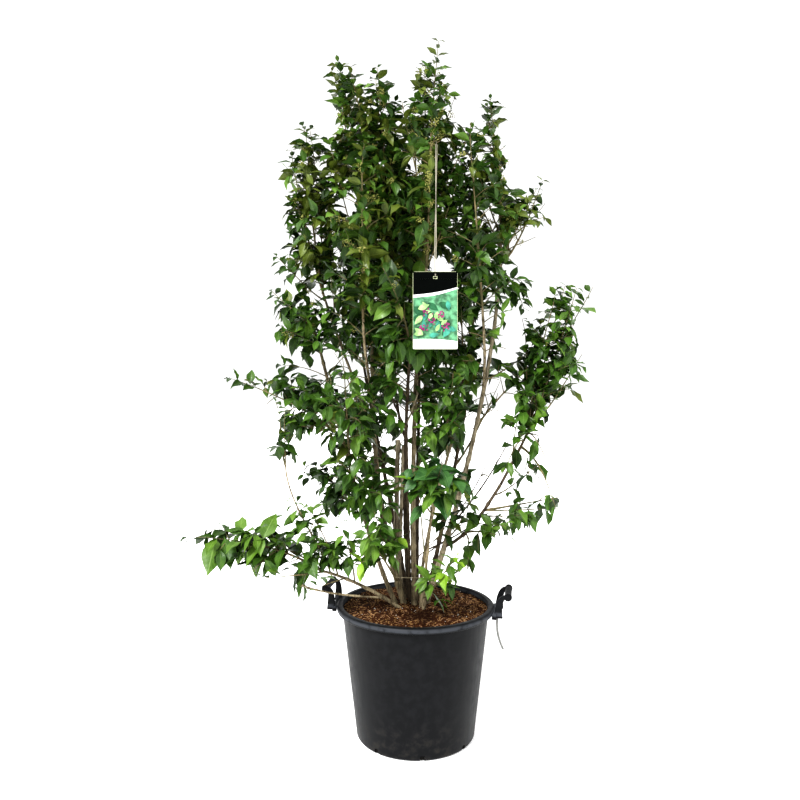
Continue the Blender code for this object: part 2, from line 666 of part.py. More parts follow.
class Grower:
    """Grows the twigs and leaves of the masses, each in its own space and clear of what stands there."""

    def __init__(self, stems, standing, triangle):
        self.stems = stems
        self.standing = list(standing)
        self.triangle = triangle
        self.axes = {name: self.stem_mesh(name) for name in stems}
        self.axis_trees = {name: tree_of(mesh) for name, mesh in self.axes.items()}
        self.courses = {}
        for name, (stem, plane, wide, bare) in stems.items():
            self.courses[name] = [(stem.at(i / 10), max(half_width(wide, i / 10), 0.75 * LEAF_LENGTH))
                                  for i in range(11)]

    def stem_mesh(self, name):
        """Three-sided stem of a mass, its foot cut flat against what carries it."""
        stem, plane, wide, bare = self.stems[name]
        rings = max(3, round(stem.length / STEM_RING_SPACING))
        shares = [i / rings for i in range(rings + 1)]
        points = [stem.at(t) for t in shares]
        radii = [stem.radius(t) for t in shares]
        points.insert(0, points[0] - stem.heading(0.0) * 3.0 * radii[0])
        radii.insert(0, radii[0])
        mesh = swept(name, points, radii, self.triangle)
        cut_flat(mesh, *plane)
        return mesh

    def own_space(self, name, point):
        """Whether a point lies nearer this mass's stem, by the masses' widths, than any other's."""
        shares = {}
        for other, course in self.courses.items():
            shares[other] = min((point - place_on).length / wide for place_on, wide in course)
        mine = shares.pop(name)
        return mine < SPACE_REACH and mine < min(shares.values())

    def clear(self, name, tree, kept):
        """Whether a swollen shape touches nothing: what stands, other masses' stems, this one's pieces."""
        others = [axis for other, axis in self.axis_trees.items() if other != name]
        return not any(tree.overlap(other) for other in self.standing + others + kept)

    def twig(self, name, start, reach, kept):
        """Three-sided twig, or None where it would leave its space or touch something."""
        end = start + reach
        if not self.own_space(name, end):
            return None
        grown = [radius + CLEAR_MARGIN for radius in TWIG_RADII]
        shell = swept("test", [start.lerp(end, 0.25), end], grown, self.triangle)
        tree = tree_of(shell)
        bpy.data.meshes.remove(shell)
        if not self.clear(name, tree, kept):
            return None
        return swept(name, [start, end], TWIG_RADII, self.triangle)

    def leaf(self, name, root, along, upward, size, kept):
        """Leaf with its foot sunk in its twig, or None where it would not be clear."""
        length, width, thickness = LEAF_LENGTH * size, LEAF_WIDTH * size, LEAF_THICKNESS * size
        frame = frame_along(root - along.normalized() * LEAF_SINK, along, upward)
        outer = leaf_points(frame, length, width, thickness, 0.5)
        if not all(self.own_space(name, point) for point in outer):
            return None
        swell = 2.0 * CLEAR_MARGIN
        shell = leaf_points(frame, length + CLEAR_MARGIN, width + swell, thickness + swell, LEAF_TEST_START)
        if not self.clear(name, BVHTree.FromPolygons(shell, LEAF_FACES), kept):
            return None
        bm = bmesh.new()
        corners = [bm.verts.new(point) for point in leaf_points(frame, length, width, thickness)]
        for face in LEAF_FACES:
            bm.faces.new([corners[index] for index in face])
        mesh = mesh_of(bm, name)
        kept.append(tree_of(mesh))
        return mesh

    def pair(self, name, root, heading, across, kept, rng):
        """Two opposite leaves that splay from a heading, droop, and show their faces outward."""
        made = []
        for side in (-1.0, 1.0):
            splay = LEAF_SPLAY * rng.uniform(0.8, 1.15)
            along = heading * math.cos(splay) + across * side * math.sin(splay)
            along -= UP * LEAF_DROOP * rng.uniform(0.5, 1.3)
            upward = UP * 0.5 + heading + across * side * rng.uniform(-0.3, 0.6)
            made.append(self.leaf(name, root, along, upward, rng.uniform(0.88, 1.06), kept))
        return made

    def leaves(self, name, start, end, kept, rng):
        """A pair of leaves near a twig's tip, and a leaf that ends it."""
        heading = (end - start).normalized()
        across = heading.cross(UP)
        if across.length < 0.3:
            across = heading.orthogonal()
            across.rotate(Matrix.Rotation(rng.uniform(0.0, math.tau), 3, heading))
        across.normalize()
        along = heading - UP * LEAF_DROOP * rng.uniform(0.0, 0.4)
        upward = UP + across * rng.uniform(-0.8, 0.8)
        last = self.leaf(name, start.lerp(end, END_PLACE), along, upward, rng.uniform(0.84, 1.0), kept)
        made = [last, *self.pair(name, start.lerp(end, PAIR_PLACE), heading, across, kept, rng)]
        return [mesh for mesh in made if mesh is not None]

    def grow(self, name, hanger=None):
        """Fused mesh of one mass: its stem, opposite side twigs in crossed pairs, and their leaves."""
        stem, plane, wide, bare = self.stems[name]
        rng = random.Random(name)
        pieces = [self.axes[name]]
        kept = []
        twigs = [(stem.at(1.0 - TWIG_SHORTEST / stem.length), stem.at(1.0))]
        if hanger:
            pieces.append(swept(name, hanger, TWIG_RADII, self.triangle))
            kept.append(tree_of(pieces[-1]))
            twigs.append(hanger)
        nodes = max(2, round(stem.length * (1.0 - bare) / NODE_SPACING))
        turn = rng.uniform(0.0, math.tau)
        pairs = []
        for i in range(nodes):
            t = bare + (1.0 - bare) * (i + 0.55) / nodes
            heading = stem.heading(t)
            room = half_width(wide, t) - 0.55 * LEAF_LENGTH
            across = heading.orthogonal().normalized()
            across.rotate(Matrix.Rotation(turn + i * math.pi / 2.0, 3, heading))
            pairs.append((stem.at(t + 0.5 * (1.0 - t) / nodes), heading, across))
            for side in (0.0, math.pi):
                outward = across.copy()
                angle = math.pi / 2.0 + side + rng.uniform(-0.35, 0.35)
                outward.rotate(Matrix.Rotation(angle, 3, heading))
                spread = TWIG_SPREAD * rng.uniform(0.85, 1.2)
                direction = heading * math.cos(spread) + outward * math.sin(spread)
                reach = direction * max(TWIG_SHORTEST, room * rng.uniform(0.9, 1.15))
                for share in (1.0, 0.7, 0.45):
                    mesh = self.twig(name, stem.at(t), reach * share, kept)
                    if mesh is not None:
                        pieces.append(mesh)
                        kept.append(tree_of(mesh))
                        twigs.append((stem.at(t), stem.at(t) + reach * share))
                        break
        bare_pieces = len(pieces)
        kept.append(self.axis_trees[name])
        for start, end in twigs:
            pieces += self.leaves(name, start, end, kept, rng)
        for root, heading, across in pairs:
            pieces += [mesh for mesh in self.pair(name, root, heading, across, kept, rng) if mesh is not None]
        print(name, "twigs", bare_pieces, "leaves", len(pieces) - bare_pieces)
        mesh = fuse(name, pieces)
        self.standing.append(tree_of(mesh))
        mesh.materials.append(material("foliage", LEAF_GREEN))
        return mesh


def ring(name, centre, radius, wire):
    """Mesh of a ring that stands upright in the YZ plane."""
    bpy.ops.mesh.primitive_torus_add(major_segments=12, minor_segments=4, major_radius=radius,
                                     minor_radius=wire)
    made = bpy.context.object
    mesh = made.data
    bpy.data.objects.remove(made)
    mesh.transform(Matrix.Translation(centre) @ Matrix.Rotation(math.radians(90.0), 4, "Y"))
    mesh.name = name
    return mesh


def lower_onto(centre, radius, tree):
    """Centre of an upright ring of an inner radius once it hangs a hair off what it rings."""
    step = 0.0001
    angles = [math.tau * i / 24 for i in range(24)]
    while True:
        lower = centre - UP * step
        inside = [lower + Vector((0.0, radius * math.cos(a), radius * math.sin(a))) for a in angles]
        if min(tree.find_nearest(point)[3] for point in inside) < GAP:
            return centre
        centre = lower


def make_tag(parts, hanger, triangle):
    """Card with a hanging slot, and the strap that rings a twig and the card's top bar."""
    twig = swept("test", hanger, TWIG_RADII, triangle)
    on_twig = hanger[0].lerp(hanger[1], HANGER_RING_PLACE)
    inner = (STRAP_RING - STRAP_WIRE) * math.cos(math.pi / 12)
    top = lower_onto(on_twig, inner, tree_of(twig))
    bpy.data.meshes.remove(twig)
    middle_x = TAG_LEFT + TAG_WIDTH / 2.0
    card = bpy.data.curves.new("tag", "CURVE")
    card.dimensions = "2D"
    card.fill_mode = "BOTH"
    card.extrude = TAG_THICKNESS / 2.0
    slot_middle = TAG_HEIGHT / 2.0 - TAG_SLOT_DROP
    outlines = [(TAG_WIDTH, TAG_HEIGHT, 0.0), (TAG_SLOT_WIDTH, TAG_SLOT_HEIGHT, slot_middle)]
    for wide, tall, middle in outlines:
        corner = TAG_CORNER if middle == 0.0 else 0.0
        spline = card.splines.new("POLY")
        points = rounded_box(wide, tall, corner)
        spline.points.add(len(points) - 1)
        for slot, (x, y) in zip(spline.points, points):
            slot.co = (x, y + middle, 0.0, 1.0)
        spline.use_cyclic_u = True
    guide = bpy.data.objects.new("tag", card)
    bpy.context.scene.collection.objects.link(guide)
    mesh = evaluated_mesh(guide)
    bpy.data.objects.remove(guide)
    bm = bmesh.new()
    bm.from_mesh(mesh)
    bmesh.ops.remove_doubles(bm, verts=bm.verts, dist=1e-6)
    upright = Matrix.Rotation(math.radians(90.0), 4, "X")
    bm.transform(Matrix.Translation((middle_x, TAG_Y, TAG_TOP - TAG_HEIGHT / 2.0)) @ upright)
    card_mesh = mesh_of(bm, "tag")
    card_mesh.materials.append(material("tag_print", TAG_PRINT))
    tag = place("tag", card_mesh, parts)
    slot_top = TAG_TOP - TAG_SLOT_DROP + TAG_SLOT_HEIGHT / 2.0
    hook = Vector((middle_x, TAG_Y, slot_top - GAP - STRAP_WIRE + HOOK_RING))
    start = top - UP * STRAP_RING
    end = hook + UP * HOOK_RING
    band = box("band", (STRAP_WIDTH, (end - start).length, STRAP_THICKNESS),
               frame_along((start + end) / 2.0, end - start, Vector((0.0, -1.0, 0.0))))
    pieces = [band, ring("top", top, STRAP_RING, STRAP_WIRE), ring("hook", hook, HOOK_RING, STRAP_WIRE)]
    strap_mesh = fuse("tag_strap", pieces)
    strap_mesh.materials.append(material("strap_plastic", STRAP_PALE))
    return tag, place("tag_strap", strap_mesh, parts)


def rounded_box(wide, tall, corner):
    """Outline of a flat box about its middle, with round corners where a radius is given."""
    x, y = wide / 2.0 - corner, tall / 2.0 - corner
    points = []
    for quarter, (cx, cy) in enumerate(((x, y), (-x, y), (-x, -y), (x, -y))):
        steps = 3 if corner else 0
        for i in range(steps + 1):
            angle = math.pi / 2.0 * (quarter + (i / steps if steps else 0.0))
            points.append((cx + corner * math.cos(angle), cy + corner * math.sin(angle)))
    return points


def finger_space(turn):
    """Search tree of the space that a hand needs through a handle."""
    spin = Matrix.Rotation(turn, 4, "Z")
    outer = max(GRIP_REACHES.values()) + 2.0 * GRIP_RADIUS
    size = (outer - LUG_INNER, 2.0 * ARM_SPREAD, GRIP_HEIGHT - LUG_TOP)
    middle = Matrix.Translation(((outer + LUG_INNER) / 2.0, 0.0, (GRIP_HEIGHT + LUG_TOP) / 2.0))
    mesh = box("test", size, spin @ middle)
    tree = tree_of(mesh)
    bpy.data.meshes.remove(mesh)
    return tree


def main():
    for item in list(bpy.data.objects):
        bpy.data.objects.remove(item)
    parts = new_collection(OBJECT_NAME)
    cutters = new_collection("cutters")
    guides = new_collection("guides")
    corners = [(math.cos(a), math.sin(a)) for a in (math.tau * i / 3 for i in range(3))]
    triangle = section("twig_section", corners, guides)
    x, y = TIE_WIDTH / 2.0, TIE_THICKNESS / 2.0
    strip = section("strip_section", [(x, y), (-x, y), (-x, -y), (x, -y)], guides)
    standing = [make_pot(parts, cutters), make_soil(parts)]
    turns = (HANDLE_TURN, HANDLE_TURN + math.pi)
    for name, turn in zip(GRIP_REACHES, turns):
        standing.append(make_handle(name, turn, parts, cutters))
    standing.append(make_handle_tie(parts, strip))
    limbs, trees = make_limbs(parts)
    stems = mass_stems(limbs, trees)
    front_stem = stems[HANGER_MASS][0]
    hanger_foot = front_stem.at(HANGER_TWIG_PLACE)
    hanger = [hanger_foot, hanger_foot + Vector(HANGER_TWIG_REACH)]
    standing += make_tag(parts, hanger, triangle)
    fixed = [tree_of(evaluated_mesh(item)) for item in standing]
    fixed += list(trees.values()) + [finger_space(turn) for turn in turns]
    grower = Grower(stems, fixed, triangle)
    for name in stems:
        place(name, grower.grow(name, hanger if name == HANGER_MASS else None), parts)


main()
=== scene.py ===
"""Looks of the potted profusion beautyberry: bark, twigs, leaves, young fruit, pot, potting mix and tag.

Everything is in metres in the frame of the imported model: +Z up, -Y towards the camera.
"""
import itertools
import math
import random

import bmesh
import bpy
import numpy as np
from mathutils import Matrix, Vector, kdtree, noise


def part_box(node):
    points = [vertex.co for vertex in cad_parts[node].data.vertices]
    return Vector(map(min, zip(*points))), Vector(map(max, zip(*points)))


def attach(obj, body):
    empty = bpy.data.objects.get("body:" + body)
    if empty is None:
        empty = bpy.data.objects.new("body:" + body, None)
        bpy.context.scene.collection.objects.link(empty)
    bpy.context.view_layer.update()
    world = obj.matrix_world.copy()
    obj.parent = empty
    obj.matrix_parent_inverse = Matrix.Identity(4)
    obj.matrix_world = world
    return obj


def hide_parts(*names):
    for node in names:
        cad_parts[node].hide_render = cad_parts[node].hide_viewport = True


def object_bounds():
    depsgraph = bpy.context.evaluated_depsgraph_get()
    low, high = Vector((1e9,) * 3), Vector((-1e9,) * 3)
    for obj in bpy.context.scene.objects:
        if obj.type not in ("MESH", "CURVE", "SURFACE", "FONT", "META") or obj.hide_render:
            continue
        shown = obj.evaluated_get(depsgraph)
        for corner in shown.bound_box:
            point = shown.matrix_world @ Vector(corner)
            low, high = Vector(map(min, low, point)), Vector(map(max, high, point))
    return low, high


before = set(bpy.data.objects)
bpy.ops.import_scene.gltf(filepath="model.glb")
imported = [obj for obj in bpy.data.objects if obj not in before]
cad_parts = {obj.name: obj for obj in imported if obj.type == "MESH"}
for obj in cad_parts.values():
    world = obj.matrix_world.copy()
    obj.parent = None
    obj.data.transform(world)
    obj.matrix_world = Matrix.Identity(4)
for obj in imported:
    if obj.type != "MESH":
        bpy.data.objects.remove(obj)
CAD_LOW, CAD_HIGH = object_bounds()
BODY = "root"
UP = Vector((0.0, 0.0, 1.0))
QUARTER = math.pi / 2.0

# Camera of the photograph
LENS_MM = 34.06
SENSOR_MM = 36.0
CAMERA_PLACE = (-0.0505, -2.5, 1.187)
CAMERA_PITCH = math.radians(1.38)
CAMERA_SHIFT_Y = -0.0625

# Pot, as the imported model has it
POT_HEIGHT = 0.420
RIM_RADIUS = 0.257
LIP_DEPTH = 0.019
BODY_TOP_RADIUS = 0.2385
BASE_RADIUS = 0.190
WALL = 0.003
SOIL_TOP = 0.402
SLOT_COUNT = 8
SLOT_FIRST_ANGLE = math.radians(-85.0)
SLOT_WIDTH = 0.014
SLOT_HEIGHT = 0.018
HANDLE_TURN = math.radians(-9.5)
GRIP_RADIUS = 0.011
GRIP_LENGTH = 0.112
GRIP_REACHES = {"handle_right": 0.302, "handle_left": 0.290}
GRIP_HEIGHT = 0.466
ARM_SPREAD = 0.050

# How the limbs' bark is made
RING_SPACING = 0.0055
LIMB_SIDES = 14
FOOT_FLARE = 0.25
FLARE_HEIGHT = 0.018
KNOT_SPACING = 0.062
KNOT_SWELL = 0.16
KNOT_LENGTH = 0.006
BUD_SWELL = 0.30
BUD_OFFSET = 0.004
BUD_LENGTH = 0.0045
LIMB_WANDER = 0.0012
CUT_RISES = (-0.002, 0.0006, 0.0011)
CUT_SHARES = (0.90, 0.88, 0.70)
BARK_BASE = 0.92
BARK_ROUGHNESS = 0.10
FOOT_DEPTH = 0.004

# How twigs and leaves grow in scene detail
AXIS_FOOT_RADIUS = 0.0046
AXIS_TIP_RADIUS = 0.0014
FINE_FOOT_RADIUS = 0.0030
NODE_SPACING = 0.036
TWIG_SHARE = 0.80
TWIG_REACH = (0.50, 1.15)
TURN_UNEVEN = 0.15
AXIS_LEAF_TAPER = 0.30
TOP_TAPER = 0.35
TIP_SHOOT = 0.080
TIP_LEAVES = (0.80, 0.72, 0.62, 0.50, 0.36)
TIP_SHOOTS = {"leaves_leader": 0.092, "leaves_right_top": 0.060, "right_peak": 0.055}
TWIG_SPREAD = math.radians(54.0)
TWIG_SHORTEST = 0.035
TWIG_SAG = (0.02, 0.20)
TWIG_RISE = (0.02, 0.10)
TWIG_LEAF_TAPER = 0.25
TWIG_END_TURN = 0.6
TWIG_END_LEAF = 0.55
TWIG_FOOT_RADIUS = 0.0019
TWIG_TIP_RADIUS = 0.0008
TWIG_NODE_SPACING = 0.030
TWIG_RING_SPACING = 0.012
THIN_RING_SPACING = 0.010
THIN_KNOTS = (0.22, 3)
STEM_KNOTS = (0.18, 4)
TWIG_SIDES = 5
LEAF_LENGTH = 0.088
LEAF_SIZES = (0.82, 1.15)
LEAF_SPLAY = math.radians(62.0)
SPLAY_UNEVEN = 0.18
LEAF_ROLL = 0.35
LEAF_TWIST = 0.35
LEAF_BREADTH = (0.19, 0.26)
LEAF_BEND = (0.20, 1.15)
LEAF_FOLD = (0.10, 0.45)
LEAF_WAVE = (0.015, 0.06)
LEAF_PROBES = (0.3, 0.5, 0.7, 0.85, 1.0)
SAME_COLOUR = 0.72
LEAF_DROOP = {"top": (-0.15, 0.25), "low": (0.05, 0.65)}
USUAL_DROOP = (-0.02, 0.42)
BROADER = {"blue": 1.25}
LEAF_CLEARANCE = 0.003
REACH_MARGIN = 0.030
OUTER_MARGIN = 0.006
LIP_ROOM = 0.004
SOIL_ROOM = 0.010
MASS_OVER_LIP = "sprig_pot_front"
BERRIES = (20, 30)
BERRY_RADIUS = 0.0017
CLUSTER_SIZE = (0.010, 0.016)
STALK_RADII = (0.0008, 0.0007, 0.0005)
BERRY_SPREAD = (0.45, 1.0)
BERRY_SIZES = (0.70, 1.25)

# More of the pot, its handles, the tie and the bed
POT_SEGMENTS = 144
LIP_ROUND = 0.0085
LIP_CURL = 0.0045
LIP_TAPER = 0.001
LIP_TOP_THICKNESS = 0.006
LIP_EDGE = 0.001
MOUTH_ROUND = 0.0015
BASE_ROUND = 0.012
FLOOR = 0.004
FOOT_RECESS = 0.150
RECESS_DEPTH = 0.0015
WALL_RINGS = [0.36, 0.33, 0.29, 0.25, 0.21, 0.17, 0.13, 0.09, 0.05, 0.025]
SLOT_DEPTH = 0.034
SLOT_ROUND = 0.004
NUB_ANGLE = math.radians(-92.0)
NUB_RADIUS = 0.0035
NUB_THICKNESS = 0.003
NUB_BEVEL = 0.0006
SHARP_ANGLE = math.radians(40.0)
POT_SHARP_ANGLE = math.radians(35.0)
DUST_HEIGHT = 0.16
# Heights of the painted highlight on the lip's bead and of the painted shade under the lip
BEAD_HIGHLIGHT_FOOT = (POT_HEIGHT - 0.017, POT_HEIGHT - 0.011)
BEAD_HIGHLIGHT_TOP = (POT_HEIGHT - 0.007, POT_HEIGHT)
LIP_SHADE_FOOT = (POT_HEIGHT - LIP_DEPTH - 0.010, POT_HEIGHT - LIP_DEPTH - 0.002)
LIP_SHADE_TOP = (POT_HEIGHT - LIP_DEPTH, POT_HEIGHT - LIP_DEPTH + 0.002)
GRIP_RIBS = 12
GRIP_SEGMENTS = 28
RIB_DEPTH = 0.0010
BOSS_RADIUS = 0.0125
BOSS_SEGMENTS = 32
BOSS_PROFILE = [(0.0, 0.0), (0.0120, 0.0), (0.0120, 0.0018), (0.0112, 0.0026), (0.0092, 0.0026),
                (0.0084, 0.0014), (0.0066, 0.0014), (0.0058, 0.0028), (0.0, 0.0030)]
ARM_WIDTH = 0.027
ARM_THICKNESS = 0.008
ARM_STEPS = 14
ARM_TAPER = 0.62
ARM_BEVEL = 0.0015
ARM_END_SWEEP = 110.0
ARM_FOOT = Vector((0.2712, 0.399))
ARM_BEND = (Vector((0.000, 0.042)), Vector((-0.024, 0.003)))
LUG_HALF_SPAN = 0.060
LUG_OUTER = 0.272
LUG_BOTTOM = 0.395
LUG_TOP = 0.413
LUG_CLEARANCE = 0.0003
LUG_BEVEL = 0.0018
RIBBON_STEPS = 24
TIE_WIDTH = 0.0060
TIE_THICKNESS = 0.0024
TIE_DROP = 0.095
TIE_CURL = 0.018
BED_RADIUS = 0.2358
BED_RISE = 0.0200
BED_RINGS = 40
BED_SIDES = 120
BED_BUMPS = ((26.0, 0.4, 0.0045), (95.0, 2.1, 0.0026))
# Place in front of the stems that the potting mix darkens towards
DARK_PATCH_PLACE = (0.022, -0.115, 0.412)

# What is strewn on the bed, by piece: finish, half sizes, count per square metre, seed
STREWN = {
    "mulch_chips": ("chip", (0.0030, 0.0052, 0.0013), 5200.0, 11),
    "mulch_fibres": ("fibre", (0.0110, 0.0007, 0.0006), 5200.0, 23),
    "mulch_crumbs": ("crumb", (0.0034, 0.0030, 0.0024), 4200.0, 31),
    "mulch_grains": ("grain", (0.0020, 0.0017, 0.0014), 420.0, 47),
}

# Card
TAG_WIDTH = 0.134
TAG_HEIGHT = 0.233
TAG_THICKNESS = 0.001
TAG_TOP = 1.477
TAG_LEFT = -0.012
TAG_Y = -0.235
TAG_CORNER = 0.006
TAG_BEVEL = 0.0002
TAG_SLOT_WIDTH = 0.010
TAG_SLOT_HEIGHT = 0.006
TAG_SLOT_DROP = 0.018
TAG_SLOT_CORNER = 0.002

# Print of the card, from the card's middle; drops are from its top and rises from its foot, left and right
PRINT_HALF_WIDTH = TAG_WIDTH / 2.0 - 0.0008
PRINT_HALF_HEIGHT = TAG_HEIGHT / 2.0 - 0.0008
PRINT_LIFT = 0.00012
PICTURE_LOW = -0.086
PICTURE_HIGH = 0.032
PRINTED_LEAF_X = (-0.052, 0.052)
PRINTED_LEAF_Y = (-0.078, 0.022)
PRINTED_LEAF_SIZES = (0.7, 1.15)
PRINT_EDGE_STEPS = 20
HEAD_DROPS = (0.070, 0.047)
WHITE_DROPS = (0.078, 0.052)
PICTURE_RISES = (0.028, 0.022)
FOOT_RISES = (0.030, 0.024)
SLOT_MARGIN = 0.0062
PRINTED_LEAVES = (("tag_leaves_dark", "print_dark", 12, 0.040), ("tag_leaves_teal", "print_teal", 9, 0.034),
                  ("tag_leaves_light", "print_light", 12, 0.032))
PRINTED_CLUSTERS = ((-0.030, -0.004), (-0.008, -0.030), (0.018, -0.012), (0.034, -0.048), (-0.034, -0.056))
PRINTED_BERRIES = 12
PRINTED_BERRY_RADII = (0.0020, 0.0031)
CLUSTER_SPREAD = 0.006

# Strap, stage and where fruit grows; a lamp has its place, its softness in degrees and its power
HANGER_MASS = "leaves_front_top"
HANGER_TWIG_PLACE = 0.86
HANGER_TWIG_REACH = (0.028, -0.018, 0.012)
HANGER_RING_PLACE = 0.60
HANGER_TWIG_RADII = (0.0021, 0.0015)
STRAP_HALF_GAP = 0.0020
STRAP_STRIP = 0.0021
STRAP_THICKNESS = 0.0007
TWIG_LOOP_RADIUS = 0.0042
CARD_LOOP_RADIUS = 0.0052
SKY_STRENGTH = 1.0
FLOOR_GLOW = 0.30
LAMPS = {
    "key": ((-2.2, -3.4, 5.0), 14.0, 4.8),
    "fill": ((3.5, -2.6, 3.0), 40.0, 0.6),
}
LAMP_AIM = (0.0, 0.0, 1.1)
FRUIT_FROM = 1.20
FRUIT_SHARES = {"top": 0.26}
USUAL_FRUIT = 0.05

# Base colours of the leaves: deep, lit and vein tone of each kind that sprays are dealt
LEAF_COLOURS = {
    "deep": ((0.008, 0.025, 0.002), (0.024, 0.06, 0.005), (0.062, 0.112, 0.02)),
    "mid": ((0.021, 0.059, 0.005), (0.051, 0.116, 0.011), (0.105, 0.182, 0.038)),
    "light": ((0.049, 0.108, 0.01), (0.1, 0.19, 0.023), (0.172, 0.268, 0.065)),
    "olive": ((0.04, 0.06, 0.005), (0.091, 0.123, 0.014), (0.16, 0.192, 0.045)),
    "bright": ((0.11, 0.225, 0.014), (0.21, 0.35, 0.03), (0.27, 0.4, 0.07)),
    "blue": ((0.017, 0.06, 0.013), (0.047, 0.12, 0.03), (0.098, 0.19, 0.064)),
}

# Green of young bark, and the limbs whose bark isn't tan
YOUNG_BARK = (0.085, 0.095, 0.035)
PALE_LIMBS = ("stem_pruned", "stem_right_long")
DARK_LIMBS = ("stem_dark", "stem_right_lean", "stem_back", "stem_back_left", "stem_back_right",
              "bough_centre_left")

# Short leafless shoots: radii, how far they bow outward, then limb, place on it and the way to its tip
SHOOT_RADII = (0.0019, 0.0008)
SHOOT_BOW = 0.25
SHOOTS = [
    ("stem_pruned", 0.97, (0.03, -0.01, 0.04)),
    ("stem_pruned", 0.93, (-0.028, -0.012, 0.034)),
    ("stem_pruned", 0.86, (0.022, -0.018, 0.016)),
    ("stem_right_lean", 0.22, (0.018, -0.01, -0.034)),
    ("stem_right_lean", 0.3, (-0.03, -0.02, 0.022)),
    ("stem_right_long", 0.2, (0.026, -0.02, 0.03)),
    ("stem_left", 0.3, (-0.04, -0.035, 0.05)),
    ("stem_centre", 0.34, (0.026, -0.03, 0.05)),
    ("stem_outer_left", 0.5, (-0.055, -0.025, 0.075)),
]

# Thin twigs among the stems: name, carrier, place on it, tip, radius at the foot and at the tip, bark
FINE_TWIGS = [
    ("twig_lean_twin", "stem_right_lean", 0.45, (0.336, 0.01, 0.93), 0.0017, 0.001, "bark_pale"),
    ("twig_dark_right", "stem_right_long", 0.247, (0.308, 0.02, 0.942), 0.003, 0.0014, "bark_dark"),
    ("twig_dark_second", "twig_dark_right", 0.36, (0.275, 0.015, 0.89), 0.002, 0.001, "bark_dark"),
    ("twig_low_right", "stem_right_inner", 0.26, (0.222, -0.03, 0.711), 0.0028, 0.0014, "bark_dark"),
    ("twig_low_second", "stem_right_inner", 0.24, (0.17, 0.02, 0.69), 0.0022, 0.0011, "bark_dark"),
    ("twig_hanging", "stem_right_lean", 0.268, (0.125, -0.03, 0.582), 0.0012, 0.0007, "twig"),
    ("twig_thin_inner", "stem_right_inner", 0.34, (0.099, -0.03, 0.743), 0.0012, 0.0007, "bark_dark"),
    ("twig_level", "stem_right_inner", 0.29, (0.074, 0.0, 0.634), 0.0013, 0.0009, "bark_pale"),
    ("twig_crossing", "stem_front", 0.3, (-0.158, -0.115, 0.545), 0.0014, 0.0009, "bark_pale"),
    ("twig_straight", "stem_front", 0.4, (0.013, -0.07, 0.766), 0.0024, 0.0016, "twig"),
    ("twig_upper", "stem_right_inner", 0.6, (0.085, 0.0, 0.984), 0.0018, 0.001, "bark_dark"),
    ("pruned_twin", "stem_pruned", 0.25, (-0.04, -0.038, 0.935), 0.0062, 0.0052, "bark_pale"),
    ("dark_twin", "stem_dark", 0.08, (-0.03, -0.05, 1.02), 0.0058, 0.004, "bark_dark"),
    ("twig_arm_upper", "stem_right_long", 0.26, (0.246, -0.02, 0.905), 0.0022, 0.001, "bark_dark"),
    ("twig_arm_middle", "stem_right_lean", 0.18, (0.285, 0.0, 0.82), 0.0022, 0.001, "twig"),
    ("twig_cross_low", "stem_centre", 0.13, (0.105, -0.05, 0.69), 0.0018, 0.001, "bark_dark"),
    ("twig_cross_high", "stem_right_inner", 0.42, (0.03, -0.02, 0.86), 0.0018, 0.001, "bark_dark"),
    ("twig_left_foot", "stem_pruned", 0.12, (-0.105, -0.05, 0.76), 0.0024, 0.0012, "bark_dark"),
    ("twig_left_foot_thin", "stem_left", 0.16, (-0.06, -0.06, 0.8), 0.0016, 0.0009, "bark_dark"),
    ("fork_left", "stem_dark", 0.7, (-0.089, -0.09, 1.134), 0.0036, 0.0024, "bark_dark"),
    ("fork_right", "stem_dark", 0.72, (0.006, -0.11, 1.109), 0.0032, 0.002, "bark_pale"),
    ("twig_by_handle", "twig_bare", 0.647, (-0.36, -0.14, 0.513), 0.0014, 0.001, "twig"),
    ("twig_left_high", "stem_left", 0.502, (-0.205, -0.05, 0.955), 0.0022, 0.0012, "twig"),
    ("twig_left_middle", "stem_left", 0.398, (-0.202, -0.1, 0.872), 0.002, 0.001, "bark_dark"),
    ("twig_left_low", "stem_outer_left", 0.383, (-0.258, -0.08, 0.838), 0.0024, 0.0012, "twig"),
]
TWIG_BOW = 0.12

